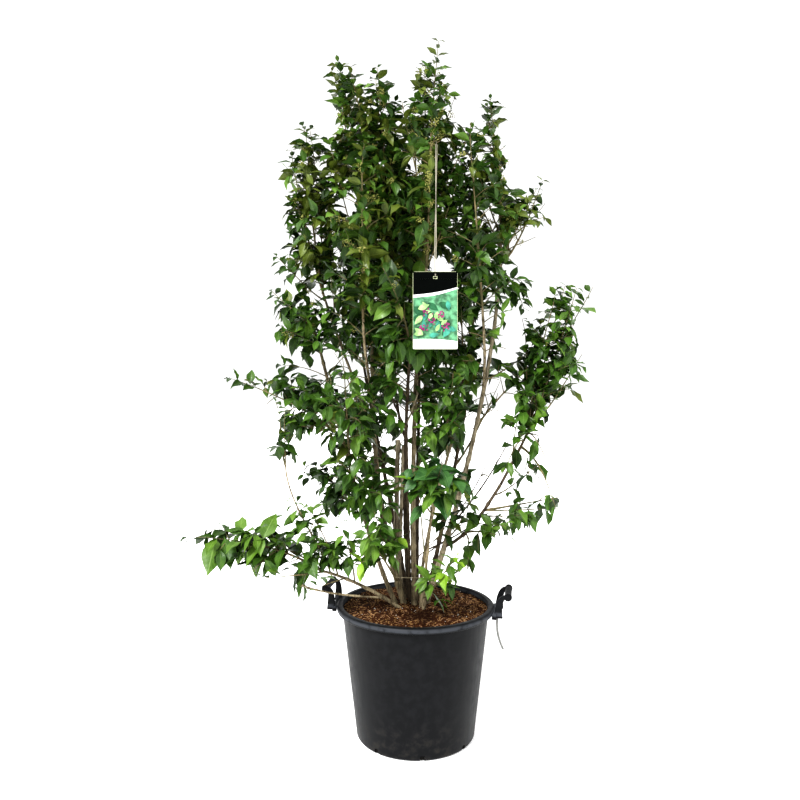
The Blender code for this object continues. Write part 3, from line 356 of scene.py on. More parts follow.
# Limbs: name, carrier (None for the soil), place on it, the way it leaves, the way it arrives, tip,
# radius at the foot and at the tip. A place is a foot in the soil or a share of the carrier's length.
LIMBS = [
    ("stem_left", None, (-0.03, -0.018), (-0.11, -0.01, 0.33), (-0.01, 0.04, 0.45), (-0.146, 0.0, 1.413),
     0.0105, 0.006),
    ("stem_outer_left", None, (-0.054, -0.01), (-0.1, -0.04, 0.21), (-0.063, 0.0, 0.246),
     (-0.308, -0.06, 1.246), 0.0085, 0.005),
    ("stem_pruned", None, (-0.036, 0.012), (-0.034, -0.004, 0.19), (0.008, -0.014, 0.2),
     (-0.056, -0.026, 0.952), 0.01, 0.008),
    ("stem_dark", None, (-0.011, 0.003), (-0.036, 0.006, 0.23), (0.014, -0.06, 0.22), (-0.02, -0.1, 1.223),
     0.0095, 0.005),
    ("stem_centre", None, (-0.001, -0.022), (-0.018, 0.014, 0.4), (0.048, 0.0, 0.38), (0.049, 0.0, 1.729),
     0.0105, 0.0045),
    ("stem_right_long", None, (0.027, -0.006), (0.118, 0.004, 0.33), (0.0, 0.0, 0.377), (0.284, 0.0, 1.622),
     0.0105, 0.005),
    ("stem_right_lean", "stem_right_long", 0.19, (0.1, -0.03, 0.035), (0.06, 0.0, 0.12),
     (0.366, -0.03, 0.979), 0.0062, 0.0046),
    ("stem_right_inner", None, (0.012, 0.014), (0.01, 0.025, 0.24), (0.05, 0.005, 0.22), (0.158, 0.05, 1.08),
     0.0062, 0.0045),
    ("stem_front", None, (0.024, -0.062), (0.004, -0.04, 0.16), (0.012, -0.05, 0.14), (0.05, -0.18, 0.785),
     0.0055, 0.004),
    ("stem_short", None, (0.022, -0.038), (0.002, -0.002, 0.025), (0.0, -0.002, 0.025),
     (0.02, -0.041, 0.495), 0.0115, 0.0095),
    ("stem_back_left", None, (-0.022, 0.034), (-0.04, 0.04, 0.26), (-0.045, 0.035, 0.26), (-0.18, 0.2, 1.2),
     0.009, 0.005),
    ("stem_back", None, (0.004, 0.038), (0.002, 0.06, 0.28), (0.004, 0.03, 0.28), (0.02, 0.22, 1.25), 0.009,
     0.005),
    ("stem_back_right", None, (0.037, 0.032), (0.05, 0.05, 0.24), (0.04, 0.03, 0.25), (0.2, 0.2, 1.15),
     0.009, 0.005),
    ("arch_low_left", None, (-0.026, -0.052), (-0.07, -0.006, 0.06), (-0.08, -0.012, 0.02),
     (-0.3, -0.095, 0.548), 0.007, 0.0045),
    ("twig_bare", "arch_low_left", 0.3, (-0.08, -0.05, 0.02), (-0.07, 0.0, 0.03), (-0.354, -0.14, 0.516),
     0.0035, 0.0028),
    ("bough_far_left", "stem_left", 0.6, (-0.04, 0.03, 0.11), (-0.05, 0.0, 0.15), (-0.309, 0.04, 1.437),
     0.0052, 0.0042),
    ("bough_centre_left", "stem_dark", 0.66, (-0.04, 0.03, 0.1), (0.0, -0.01, 0.18), (-0.08, -0.01, 1.444),
     0.005, 0.0042),
    ("bough_front", "stem_centre", 0.58, (0.01, -0.08, 0.12), (0.01, -0.03, 0.12), (0.032, -0.155, 1.5),
     0.0052, 0.0042),
    ("bough_front_left", "stem_left", 0.7, (-0.01, -0.08, 0.1), (0.0, -0.04, 0.11), (-0.165, -0.15, 1.34),
     0.005, 0.0042),
    ("bough_front_right", "stem_right_long", 0.58, (0.0, -0.09, 0.11), (-0.01, -0.02, 0.11),
     (0.205, -0.15, 1.38), 0.005, 0.0042),
    ("twig_arching", "arch_low_left", 0.88, (-0.03, -0.02, 0.1), (-0.002, 0.01, 0.12), (-0.411, -0.11, 0.89),
     0.0028, 0.0024),
]

# Foliage masses: name, carrier, place on it, the way the mass's own stem leaves, its tip, the greatest
# half-width of the mass, and the share of the stem that is bare
MASSES = [
    ("leaves_leader", "stem_centre", 1.0, (0.0, 0.0, 0.25), (0.068, -0.02, 2.172), 0.12, 0.0),
    ("leaves_left_top", "stem_left", 1.0, (-0.02, 0.03, 0.38), (-0.243, 0.04, 2.15), 0.125, 0.0),
    ("leaves_left_second", "bough_centre_left", 1.0, (-0.01, 0.0, 0.3), (-0.118, -0.04, 2.09), 0.125, 0.0),
    ("leaves_far_left", "bough_far_left", 1.0, (-0.04, 0.0, 0.2), (-0.362, 0.03, 1.925), 0.125, 0.0),
    ("leaves_left_mid", "stem_outer_left", 1.0, (-0.02, 0.0, 0.08), (-0.405, -0.085, 1.385), 0.125, 0.0),
    ("leaves_left_arm", "stem_outer_left", 0.66, (-0.08, -0.02, 0.09), (-0.515, -0.06, 1.125), 0.11, 0.18),
    ("leaves_left_drop", "twig_arching", 1.0, (-0.002, 0.004, 0.04), (-0.415, -0.105, 0.985), 0.09, 0.0),
    ("leaves_left_front", "stem_outer_left", 0.56, (0.0, -0.12, 0.1), (-0.215, -0.25, 1.16), 0.13, 0.0),
    ("leaves_left_low", "stem_outer_left", 0.42, (-0.05, 0.03, 0.02), (-0.3, -0.01, 0.8), 0.125, 0.0),
    ("leaves_left_inner", "stem_left", 0.34, (-0.03, -0.07, 0.06), (-0.19, -0.19, 0.86), 0.105, 0.0),
    ("branch_low_left", "arch_low_left", 1.0, (-0.12, -0.01, 0.085), (-0.625, -0.12, 0.655), 0.1, 0.0),
    ("rosette_low_left", "stem_left", 0.1, (-0.02, -0.08, 0.06), (-0.13, -0.2, 0.655), 0.085, 0.45),
    ("rosette_centre", "stem_front", 1.0, (0.008, -0.03, 0.05), (0.066, -0.235, 0.87), 0.09, 0.0),
    ("sprig_pot_front", "stem_front", 0.14, (0.02, -0.03, 0.02), (0.085, -0.165, 0.56), 0.08, 0.2),
    ("sprig_low_right", "stem_right_lean", 0.22, (0.02, -0.05, 0.02), (0.225, -0.11, 0.67), 0.085, 0.25),
    ("leaves_right_low", "stem_right_lean", 0.88, (0.05, -0.03, -0.03), (0.42, -0.09, 0.81), 0.105, 0.0),
    ("leaves_far_right", "stem_right_lean", 1.0, (0.05, -0.01, 0.12), (0.5, -0.05, 1.37), 0.125, 0.0),
    ("leaves_right_inner", "stem_right_long", 0.5, (0.05, 0.02, 0.07), (0.35, 0.01, 1.165), 0.11, 0.0),
    ("arm_right_low", "stem_right_lean", 0.42, (0.06, 0.02, 0.005), (0.455, 0.0, 0.76), 0.085, 0.35),
    ("leaves_right_top", "stem_right_long", 1.0, (0.0, 0.0, 0.18), (0.252, 0.05, 2.02), 0.12, 0.0),
    ("leaves_right_shoulder", "stem_right_long", 0.92, (0.05, -0.02, 0.04), (0.386, -0.045, 1.722), 0.095,
     0.0),
    ("leaves_front_top", "bough_front", 1.0, (0.006, -0.03, 0.19), (0.045, -0.215, 1.93), 0.12, 0.0),
    ("leaves_front_right", "bough_front_right", 1.0, (-0.015, -0.03, 0.2), (0.165, -0.205, 1.86), 0.13, 0.0),
    ("leaves_front_left", "bough_front_left", 1.0, (0.0, -0.03, 0.15), (-0.165, -0.23, 1.78), 0.13, 0.0),
    ("leaves_centre_front", "stem_dark", 1.0, (0.004, -0.06, 0.08), (-0.07, -0.27, 1.42), 0.115, 0.0),
    ("leaves_centre_right", "stem_right_inner", 0.72, (-0.02, -0.1, 0.06), (0.105, -0.19, 1.11), 0.115, 0.1),
    ("leaves_right_mid", "stem_right_inner", 1.0, (0.01, 0.0, 0.14), (0.15, 0.06, 1.48), 0.12, 0.0),
    ("leaves_back_left", "stem_back_left", 1.0, (-0.01, 0.06, 0.24), (-0.205, 0.27, 1.83), 0.14, 0.0),
    ("leaves_back", "stem_back", 1.0, (0.0, 0.05, 0.25), (0.03, 0.26, 1.96), 0.14, 0.0),
    ("leaves_back_right", "stem_back_right", 1.0, (0.02, 0.05, 0.22), (0.23, 0.25, 1.78), 0.14, 0.0),
    ("leaves_back_low_left", "stem_back_left", 0.62, (-0.05, 0.07, 0.08), (-0.26, 0.32, 1.18), 0.13, 0.0),
    ("leaves_back_low_right", "stem_back_right", 0.6, (0.06, 0.06, 0.06), (0.29, 0.28, 1.08), 0.125, 0.0),
]

# Keep-out room for leaves, as boxes of lowest and highest corner: before the tag and strap, at the grips
TAG_ROOM = ((-0.030, -0.400, 1.225), (0.140, -0.205, 1.492))
STRAP_ROOM = ((0.052, -0.400, 1.450), (0.150, -0.170, 1.880))
GRIP_ROOMS = [((side * 0.292 - 0.045, -0.085, 0.415), (side * 0.292 + 0.045, 0.085, 0.485))
              for side in (-1.0, 1.0)]

# Outline of a leaf with its short stalk: share of the length, share of the half-width
LEAF_OUTLINE = ((0.0, 0.035), (0.070, 0.050), (0.20, 0.60), (0.38, 0.98), (0.56, 0.96), (0.75, 0.58),
                (0.90, 0.20), (1.0, 0.02))
LEAF_COLUMNS = (-1.0, -0.5, 0.0, 0.5, 1.0)

# Limbs with leafy side twigs of their own: the height they start from and the share of places that has one
LIMB_SPRAYS = {
    "stem_left": (0.95, 0.75), "stem_outer_left": (0.85, 0.7), "stem_dark": (0.98, 0.8),
    "stem_centre": (1.02, 0.75), "stem_right_long": (1.42, 0.7), "stem_right_inner": (0.8, 0.75),
    "stem_back_left": (0.75, 0.8), "stem_back": (0.85, 0.8), "stem_back_right": (0.75, 0.8),
    "bough_far_left": (1.15, 0.6), "bough_centre_left": (1.1, 0.8), "bough_front": (1.25, 0.8),
    "bough_front_left": (1.1, 0.8), "bough_front_right": (1.1, 0.8),
}
SPRAY_SPACING = 0.050
SPRAY_INSET = 0.060
SPRAY_REACH = (0.06, 0.15)
SPRAY_LEAF_SIZES = (0.8, 1.1)
SPRAY_UNEVEN = 0.3
SPRAY_TURN = 1.7

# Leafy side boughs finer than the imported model's: name, carrier, place on it, the way it leaves, its tip,
# the greatest half-width, the share that is bare
FINE_BOUGHS = [
    ("top_left", "bough_centre_left", 1.0, (-0.02, 0.01, 0.3), (-0.2, 0.0, 2.11), 0.09, 0.0),
    ("top_second", "bough_centre_left", 1.0, (0.0, -0.01, 0.28), (-0.128, 0.01, 2.095), 0.07, 0.2),
    ("top_third", "bough_centre_left", 1.0, (0.02, -0.01, 0.25), (-0.068, 0.0, 2.0), 0.065, 0.4),
    ("top_left_outer", "stem_left", 1.0, (-0.04, 0.02, 0.35), (-0.256, 0.02, 2.11), 0.05, 0.6),
    ("left_between", "stem_left", 1.0, (-0.06, 0.0, 0.2), (-0.268, 0.0, 1.87), 0.065, 0.4),
    ("left_column", "bough_far_left", 1.0, (0.0, 0.02, 0.18), (-0.345, 0.05, 1.92), 0.11, 0.0),
    ("left_column_low", "bough_far_left", 0.92, (-0.03, 0.02, 0.1), (-0.385, 0.04, 1.7), 0.07, 0.4),
    ("beside_leader", "stem_centre", 1.0, (0.04, 0.02, 0.11), (0.162, 0.03, 1.955), 0.085, 0.0),
    ("beside_leader_high", "stem_centre", 1.0, (0.02, 0.01, 0.2), (0.102, 0.01, 2.01), 0.045, 0.6),
    ("right_hollow_top", "stem_right_long", 1.0, (-0.04, 0.0, 0.1), (0.195, 0.0, 1.88), 0.085, 0.2),
    ("below_leader", "stem_centre", 0.96, (0.04, -0.01, 0.07), (0.138, -0.04, 1.87), 0.08, 0.0),
    ("leader_left", "stem_centre", 1.0, (-0.01, 0.01, 0.15), (0.03, 0.01, 2.12), 0.08, 0.3),
    ("right_of_strap", "stem_centre", 0.86, (0.04, 0.01, 0.06), (0.122, -0.03, 1.69), 0.1, 0.0),
    ("above_tag", "bough_front", 1.0, (0.03, 0.01, 0.06), (0.104, -0.1, 1.7), 0.08, 0.2),
    ("inner_right", "stem_right_long", 0.96, (-0.03, 0.0, 0.08), (0.165, -0.01, 1.83), 0.1, 0.0),
    ("right_peak", "stem_right_long", 1.0, (0.0, 0.01, 0.18), (0.258, 0.03, 2.04), 0.07, 0.5),
    ("right_edge", "stem_right_long", 0.94, (0.02, 0.0, 0.03), (0.345, 0.01, 1.6), 0.05, 0.0),
    ("shoulder_leaves", "stem_right_long", 0.94, (0.03, -0.02, 0.05), (0.362, -0.03, 1.7), 0.08, 0.1),
    ("shoulder_low", "stem_right_long", 0.98, (0.04, 0.0, 0.02), (0.385, 0.0, 1.68), 0.055, 0.2),
    ("left_notch", "bough_far_left", 0.6, (-0.05, -0.02, 0.02), (-0.357, -0.05, 1.33), 0.06, 0.2),
    ("left_shoulder", "bough_far_left", 0.95, (-0.03, -0.02, 0.01), (-0.398, -0.03, 1.495), 0.03, 0.3),
    ("left_inner_high", "bough_far_left", 0.8, (0.01, -0.03, 0.03), (-0.268, -0.04, 1.42), 0.045, 0.2),
    ("left_column_outer", "bough_far_left", 1.0, (-0.04, 0.0, 0.12), (-0.402, 0.02, 1.835), 0.06, 0.7),
    ("middle_left", "stem_dark", 0.85, (-0.02, -0.02, 0.02), (-0.105, -0.12, 1.16), 0.05, 0.3),
    ("middle_right", "stem_dark", 0.8, (0.02, -0.02, 0.01), (0.028, -0.12, 1.08), 0.05, 0.1),
    ("left_low_inner", "stem_outer_left", 0.5, (-0.01, -0.02, 0.0), (-0.285, -0.04, 0.85), 0.08, 0.1),
    ("left_drop_outer", "twig_arching", 0.97, (-0.01, 0.0, 0.02), (-0.43, -0.09, 1.0), 0.045, 0.0),
    ("left_hollow", "stem_outer_left", 0.9, (0.02, -0.02, 0.02), (-0.27, -0.1, 1.11), 0.07, 0.1),
    ("left_inner_low", "stem_outer_left", 0.55, (0.01, -0.02, 0.02), (-0.215, -0.06, 0.83), 0.075, 0.1),
    ("arm_left_root", "stem_outer_left", 0.8, (-0.05, -0.02, 0.03), (-0.4, -0.06, 1.13), 0.06, 0.2),
    ("far_right_head", "stem_right_lean", 1.0, (0.05, 0.02, 0.2), (0.478, 0.02, 1.388), 0.1, 0.0),
    ("far_right_inner", "stem_right_lean", 1.0, (0.0, 0.01, 0.15), (0.362, -0.02, 1.27), 0.07, 0.4),
    ("right_drop", "stem_right_lean", 0.97, (0.01, -0.04, 0.03), (0.402, -0.1, 0.92), 0.055, 0.2),
    ("right_drop_inner", "stem_right_lean", 0.92, (-0.02, -0.03, 0.02), (0.295, -0.08, 0.89), 0.045, 0.2),
    ("right_skirt", "stem_right_lean", 0.78, (-0.01, -0.03, 0.05), (0.325, -0.06, 1.01), 0.065, 0.3),
    ("right_skirt_outer", "stem_right_lean", 0.99, (0.02, -0.02, 0.0), (0.395, -0.05, 0.97), 0.045, 0.1),
    ("far_right_crown", "stem_right_lean", 1.0, (0.02, 0.0, 0.2), (0.445, -0.02, 1.368), 0.08, 0.4),
    ("far_right_tip", "stem_right_lean", 1.0, (0.05, 0.0, 0.2), (0.545, -0.02, 1.385), 0.055, 0.5),
    ("far_right_low", "stem_right_lean", 1.0, (0.06, 0.0, 0.06), (0.505, -0.02, 1.165), 0.055, 0.4),
    ("right_edge_low", "stem_right_long", 0.9, (0.02, -0.02, 0.0), (0.325, -0.04, 1.45), 0.045, 0.1),
    ("right_inner_top", "stem_right_long", 0.62, (0.03, -0.01, 0.01), (0.335, 0.0, 1.21), 0.04, 0.2),
    ("arm_right_leaves", "stem_right_lean", 0.42, (0.04, -0.01, 0.0), (0.405, -0.02, 0.728), 0.045, 0.5),
    ("arm_right_inner", "stem_right_lean", 0.38, (0.03, -0.02, 0.0), (0.3, -0.04, 0.71), 0.045, 0.3),
    ("low_left_top", "arch_low_left", 0.88, (-0.02, -0.01, 0.06), (-0.35, -0.13, 0.715), 0.08, 0.1),
    ("low_left_inner", "arch_low_left", 0.62, (0.0, -0.03, 0.06), (-0.212, -0.14, 0.64), 0.075, 0.2),
    ("low_left_high", "arch_low_left", 0.8, (-0.01, -0.02, 0.07), (-0.32, -0.1, 0.715), 0.06, 0.2),
    ("rosette_low_upper", "stem_left", 0.14, (-0.01, -0.05, 0.05), (-0.11, -0.15, 0.69), 0.055, 0.3),
    ("rosette_left", "stem_front", 0.9, (-0.01, -0.02, 0.0), (0.012, -0.215, 0.82), 0.05, 0.3),
    ("low_left_foot", "arch_low_left", 0.72, (-0.01, -0.05, 0.01), (-0.262, -0.165, 0.53), 0.06, 0.2),
    ("low_left_under", "arch_low_left", 0.95, (-0.05, -0.03, 0.0), (-0.412, -0.15, 0.545), 0.055, 0.2),
    ("low_left_back", "arch_low_left", 0.98, (-0.1, 0.02, 0.08), (-0.6, -0.09, 0.67), 0.06, 0.3),
    ("low_right_leaves", "twig_low_right", 0.75, (0.01, -0.02, 0.01), (0.228, -0.075, 0.69), 0.06, 0.1),
    ("low_right_inner", "twig_low_second", 0.55, (0.01, -0.02, 0.01), (0.155, -0.06, 0.715), 0.045, 0.1),
    ("thin_right_upper", "twig_arm_upper", 0.7, (0.01, -0.015, 0.01), (0.238, -0.04, 0.835), 0.02, 0.5),
    ("thin_right_middle", "twig_arm_middle", 0.75, (0.02, -0.015, 0.0), (0.345, -0.03, 0.83), 0.035, 0.4),
    ("thin_cross", "twig_cross_low", 0.6, (0.01, -0.02, 0.01), (0.095, -0.085, 0.7), 0.035, 0.1),
    ("back_inner_left", "stem_back_left", 1.0, (0.0, 0.0, 0.25), (-0.15, 0.14, 1.88), 0.12, 0.0),
    ("back_inner", "stem_back", 1.0, (0.01, -0.01, 0.25), (0.0, 0.14, 2.0), 0.11, 0.0),
    ("back_inner_right", "stem_back_right", 1.0, (0.0, -0.01, 0.22), (0.17, 0.14, 1.76), 0.12, 0.0),
    ("front_inner", "bough_front", 1.0, (0.0, 0.02, 0.18), (-0.03, -0.1, 1.96), 0.09, 0.2),
    ("low_right_hanging", "twig_hanging", 0.2, (0.01, -0.015, -0.01), (0.168, -0.06, 0.578), 0.035, 0.2),
]

# Places that the photograph shows open, as seen from the camera on the plane through the pot's middle:
# left, low, right and high
SKY_GAPS = [
    (-0.014, 1.83, 0.006, 1.89), (-0.245, 1.705, -0.205, 1.75), (-0.3, 1.965, -0.27, 2.055),
    (-0.345, 1.6, -0.325, 1.64), (0.35, 1.5, 0.48, 1.65), (0.425, 1.69, 0.48, 1.79),
    (0.31, 1.795, 0.38, 1.985), (0.125, 2.005, 0.205, 2.08), (0.237, 1.665, 0.26, 1.725),
    (0.317, 1.54, 0.343, 1.62), (0.143, 1.29, 0.168, 1.335), (0.265, 1.04, 0.325, 1.105),
    (0.535, 1.215, 0.6, 1.25), (0.272, 1.215, 0.328, 1.248), (0.248, 1.112, 0.295, 1.148),
    (0.412, 0.862, 0.445, 0.955), (0.258, 0.78, 0.3, 0.838), (0.3, 1.255, 0.345, 1.355),
    (0.222, 1.19, 0.245, 1.25), (0.215, 1.33, 0.265, 1.37), (0.205, 1.07, 0.24, 1.12),
    (0.17, 0.86, 0.275, 1.035), (0.085, 0.855, 0.15, 0.905), (-0.05, 1.115, -0.008, 1.17),
    (-0.245, 1.18, -0.21, 1.22), (-0.26, 1.115, -0.218, 1.15), (-0.33, 1.195, -0.258, 1.232),
    (-0.372, 1.165, -0.338, 1.19), (-0.375, 0.88, -0.325, 0.945), (-0.118, 0.925, -0.085, 0.958),
    (-0.58, 1.06, -0.5, 1.108), (-0.185, 1.15, -0.145, 1.19), (-0.52, 1.29, -0.465, 1.335),
    (-0.617, 0.951, -0.46, 1.06), (-0.37, 0.758, -0.33, 0.792), (-0.288, 0.62, -0.255, 0.66),
    (-0.33, 0.395, -0.232, 0.47), (-0.76, 0.56, -0.692, 0.606), (0.44, 0.8, 0.542, 0.95),
    (0.445, 0.96, 0.54, 1.075), (0.535, 1.26, 0.6, 1.345), (0.36, 0.775, 0.62, 0.8),
    (0.475, 0.7, 0.62, 0.775), (-0.634, 0.428, -0.54, 0.525), (-0.54, 0.43, -0.4, 0.488),
    (-0.76, 0.655, -0.668, 0.72), (-0.135, 0.48, -0.09, 0.53), (0.198, 0.428, 0.278, 0.565),
    (0.15, 0.44, 0.2, 0.5), (0.245, 0.578, 0.32, 0.622), (0.455, 0.64, 0.52, 0.695),
    (0.058, 1.502, 0.1, 1.545), (-0.06, 1.015, -0.022, 1.06),
]

# Which base colours a mass's sprays are dealt, as weights
PALETTES = {
    "top": {"olive": 5, "deep": 3, "mid": 3, "light": 2},
    "crown": {"deep": 5, "mid": 5, "light": 2, "olive": 1},
    "shade": {"deep": 5, "mid": 3, "blue": 2},
    "rosette": {"blue": 6, "mid": 2, "light": 1, "bright": 1},
    "low": {"mid": 5, "light": 3, "deep": 3},
    "fresh": {"bright": 1, "light": 6, "mid": 4},
}
DEFAULT_STYLE = (1.0, 1.0, "crown")

# Masses that differ, by the size of their leaves, the distance between nodes and the palette
STYLED_MASSES = {
    (0.86, 0.68, "top"): ("leaves_leader",),
    (1.0, 0.72, "top"): ("leaves_left_top",),
    (0.98, 0.72, "top"): ("leaves_left_second",),
    (1.0, 0.82, "top"): ("leaves_far_left",),
    (1.0, 0.86, "top"): ("leaves_front_top",),
    (1.0, 0.78, "top"): ("leaves_right_top",),
    (0.98, 0.75, "crown"): ("leaves_far_right",),
    (0.9, 1.0, "crown"): ("leaves_left_drop",),
    (1.1, 0.8, "fresh"): ("rosette_low_left",),
    (1.4, 1.0, "rosette"): ("rosette_centre",),
    (1.0, 0.8, "fresh"): ("sprig_pot_front", "rosette_low_upper"),
    (1.34, 1.1, "low"): ("branch_low_left",),
    (1.15, 1.0, "low"): ("low_left_back",),
    (0.95, 1.0, "low"): ("low_left_top", "low_left_inner", "arm_right_inner"),
    (1.0, 1.0, "low"): ("low_left_foot", "low_left_high", "low_left_under"),
    (1.3, 1.0, "rosette"): ("rosette_left",),
    (1.05, 1.0, "low"): ("arm_right_leaves", "sprig_low_right"),
    (0.95, 0.8, "top"): ("left_column_outer", "shoulder_leaves"),
    (0.95, 0.9, "top"): ("left_column_low", "front_inner"),
    (1.1, 1.0, "low"): ("arm_right_low",),
    (1.18, 1.1, "crown"): ("leaves_centre_front",),
    (1.12, 1.0, "crown"): ("leaves_centre_right",),
    (1.15, 1.0, "crown"): ("leaves_left_inner",),
    (0.96, 0.78, "top"): ("top_left",),
    (0.85, 0.7, "top"): ("top_second", "top_third", "beside_leader_high"),
    (0.95, 0.7, "top"): ("left_between",),
    (1.0, 0.55, "crown"): ("right_skirt",),
    (0.9, 0.7, "top"): ("top_left_outer",),
    (0.88, 0.8, "top"): ("right_hollow_top",),
    (0.85, 1.0, "crown"): ("thin_right_upper", "thin_right_middle"),
    (0.92, 0.8, "top"): ("left_column", "leaves_right_shoulder"),
    (0.85, 0.8, "top"): ("beside_leader", "below_leader"),
    (0.8, 0.7, "top"): ("leader_left",),
    (0.9, 0.8, "top"): ("right_of_strap", "inner_right"),
    (0.88, 0.7, "top"): ("right_peak",),
    (0.98, 0.9, "top"): ("leaves_front_left",),
    (1.0, 1.0, "shade"): ("leaves_back", "back_inner_left", "back_inner", "back_inner_right"),
    (1.05, 1.0, "shade"): ("leaves_back_low_left", "leaves_back_low_right"),
}
STYLES = {name: style for style, names in STYLED_MASSES.items() for name in names}


# Leaves set singly at the end of the low branch: base, the way to the tip, length, breadth, kind
SINGLE_LEAVES = [
    ((-0.628, -0.12, 0.664), (-0.13, -0.06, -1.0), 0.124, 0.27, "light"),
    ((-0.6, -0.125, 0.662), (0.3, -0.1, -0.85), 0.105, 0.25, "mid"),
    ((-0.636, -0.115, 0.66), (-1.0, 0.1, -0.06), 0.066, 0.12, "deep"),
]
SINGLE_LEAF_SHAPE = (0.55, 0.20, 0.030, 1.0, 0.15)


class Value:
    """Output of a node, which takes part in plain sums."""

    def __init__(self, maker, socket):
        self.maker = maker
        self.socket = socket

    def sum(self, operation, first, second=0.0):
        return self.maker.add("ShaderNodeMath", {"operation": operation}, {0: first, 1: second})

    def __add__(self, other):
        return self.sum("ADD", self, other)

    def __radd__(self, other):
        return self.sum("ADD", other, self)

    def __sub__(self, other):
        return self.sum("SUBTRACT", self, other)

    def __rsub__(self, other):
        return self.sum("SUBTRACT", other, self)

    def __mul__(self, other):
        return self.sum("MULTIPLY", self, other)

    def __rmul__(self, other):
        return self.sum("MULTIPLY", other, self)

    def __abs__(self):
        return self.sum("ABSOLUTE", self)

    def __gt__(self, other):
        return self.sum("GREATER_THAN", self, other)

    def fraction(self):
        return self.sum("FRACT", self)

    def most(self, other):
        return self.sum("MAXIMUM", self, other)

    def ramp(self, low, high, to_low=0.0, to_high=1.0):
        """Smooth step from one value to another between two of this output's values."""
        return self.maker.add("ShaderNodeMapRange", {"interpolation_type": "SMOOTHSTEP"},
                              {0: self, 1: low, 2: high, 3: to_low, 4: to_high})


class Maker:
    """Adds nodes to a tree: the type, then its settings, then the values or links of its sockets."""

    def __init__(self, tree):
        self.tree = tree

    def add(self, kind, settings=None, inputs=None, output=0):
        node = self.tree.nodes.new(kind)
        for key, value in (settings or {}).items():
            setattr(node, key, value)
        for key, value in (inputs or {}).items():
            self.feed(node.inputs[key], value)
        return Value(self, node.outputs[output])

    def feed(self, socket, value):
        if isinstance(value, Value):
            self.tree.links.new(value.socket, socket)
        else:
            socket.default_value = value

    def split(self, vector):
        """The three numbers of a vector."""
        node = self.tree.nodes.new("ShaderNodeSeparateXYZ")
        self.feed(node.inputs[0], vector)
        return [Value(self, socket) for socket in node.outputs]


class Finish(Maker):
    """Material round a Principled shader, with its constants on the shader's own sockets."""

    def __init__(self, name, constants):
        self.material = bpy.data.materials.new(name)
        self.material.use_nodes = True
        super().__init__(self.material.node_tree)
        self.shader = self.tree.nodes["Principled BSDF"]
        for key, value in constants.items():
            self.shader.inputs[key].default_value = value

    def place(self, stretch=(1.0, 1.0, 1.0)):
        """Object coordinates, stretched."""
        where = self.add("ShaderNodeTexCoord", output="Object")
        return self.add("ShaderNodeMapping", None, {"Vector": where, "Scale": stretch})

    def noise(self, where, scale, detail=3.0, roughness=0.55):
        return self.add("ShaderNodeTexNoise", None, {"Vector": where, "Scale": scale, "Detail": detail,
                                                     "Roughness": roughness}, "Fac")

    def mix(self, share, first, second):
        """Colour between two colours."""
        first, second = (c if isinstance(c, Value) else (*c, 1.0) for c in (first, second))
        return self.add("ShaderNodeMix", {"data_type": "RGBA"}, {0: share, 6: first, 7: second}, 2)

    def bump(self, height, strength, distance):
        return self.add("ShaderNodeBump", None, {"Strength": strength, "Distance": distance,
                                                 "Height": height}, "Normal")

    def finished(self, **links):
        for key, value in links.items():
            self.feed(self.shader.inputs[key.replace("_", " ")], value)
        return self.material


class Growth(Maker):
    """Geometry Nodes tree with named inputs, run once on a mesh to give a plain mesh."""

    def __init__(self, name, sizes):
        super().__init__(bpy.data.node_groups.new(name, "GeometryNodeTree"))
        face = self.tree.interface
        face.new_socket("Geometry", in_out="INPUT", socket_type="NodeSocketGeometry")
        self.sizes = sizes
        self.labels = {}
        for label, value in sizes.items():
            kind = "NodeSocketInt" if isinstance(value, int) else "NodeSocketFloat"
            self.labels[label] = face.new_socket(label, in_out="INPUT", socket_type=kind).identifier
        face.new_socket("Geometry", in_out="OUTPUT", socket_type="NodeSocketGeometry")
        self.entry = self.tree.nodes.new("NodeGroupInput")

    def input(self, label):
        return Value(self, self.entry.outputs[label])

    def random(self, low, high, seed, kind="FLOAT"):
        """Random number or vector between two, apart for each point."""
        low_socket, high_socket, output = (2, 3, 1) if kind == "FLOAT" else (0, 1, 0)
        return self.add("FunctionNodeRandomValue", {"data_type": kind},
                        {low_socket: low, high_socket: high, 8: seed}, output)

    def close(self, shape, material, smooth):
        real = self.add("GeometryNodeRealizeInstances", None, {"Geometry": shape})
        shaded = self.add("GeometryNodeSetShadeSmooth", None, {"Geometry": real, "Shade Smooth": smooth})
        coloured = self.add("GeometryNodeSetMaterial", None, {"Geometry": shaded, "Material": material})
        result = self.tree.nodes.new("NodeGroupOutput")
        self.feed(result.inputs["Geometry"], coloured)

    def run(self, name, mesh):
        """Plain mesh object that the tree makes of a mesh."""
        base = show(f"{name}_base", mesh)
        modifier = base.modifiers.new("Growth", "NODES")
        modifier.node_group = self.tree
        for label, value in self.sizes.items():
            modifier[self.labels[label]] = value
        bpy.context.view_layer.update()
        grown = bpy.data.meshes.new_from_object(base.evaluated_get(bpy.context.evaluated_depsgraph_get()))
        bpy.data.objects.remove(base)
        grown.name = name
        return show(name, grown)


def show(name, mesh):
    made = bpy.data.objects.new(name, mesh)
    bpy.context.scene.collection.objects.link(made)
    return made


def settle(piece, slot, *nodes):
    """Let a piece ride on the body and stand for its nodes; the slot is not used."""
    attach(piece, BODY)
    if nodes:
        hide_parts(*nodes)


def mesh_of(name, points, faces, material, smooth=True):
    mesh = bpy.data.meshes.new(name)
    mesh.from_pydata(points, [], faces)
    mesh.materials.append(material)
    if smooth:
        mesh.shade_smooth()
    return mesh


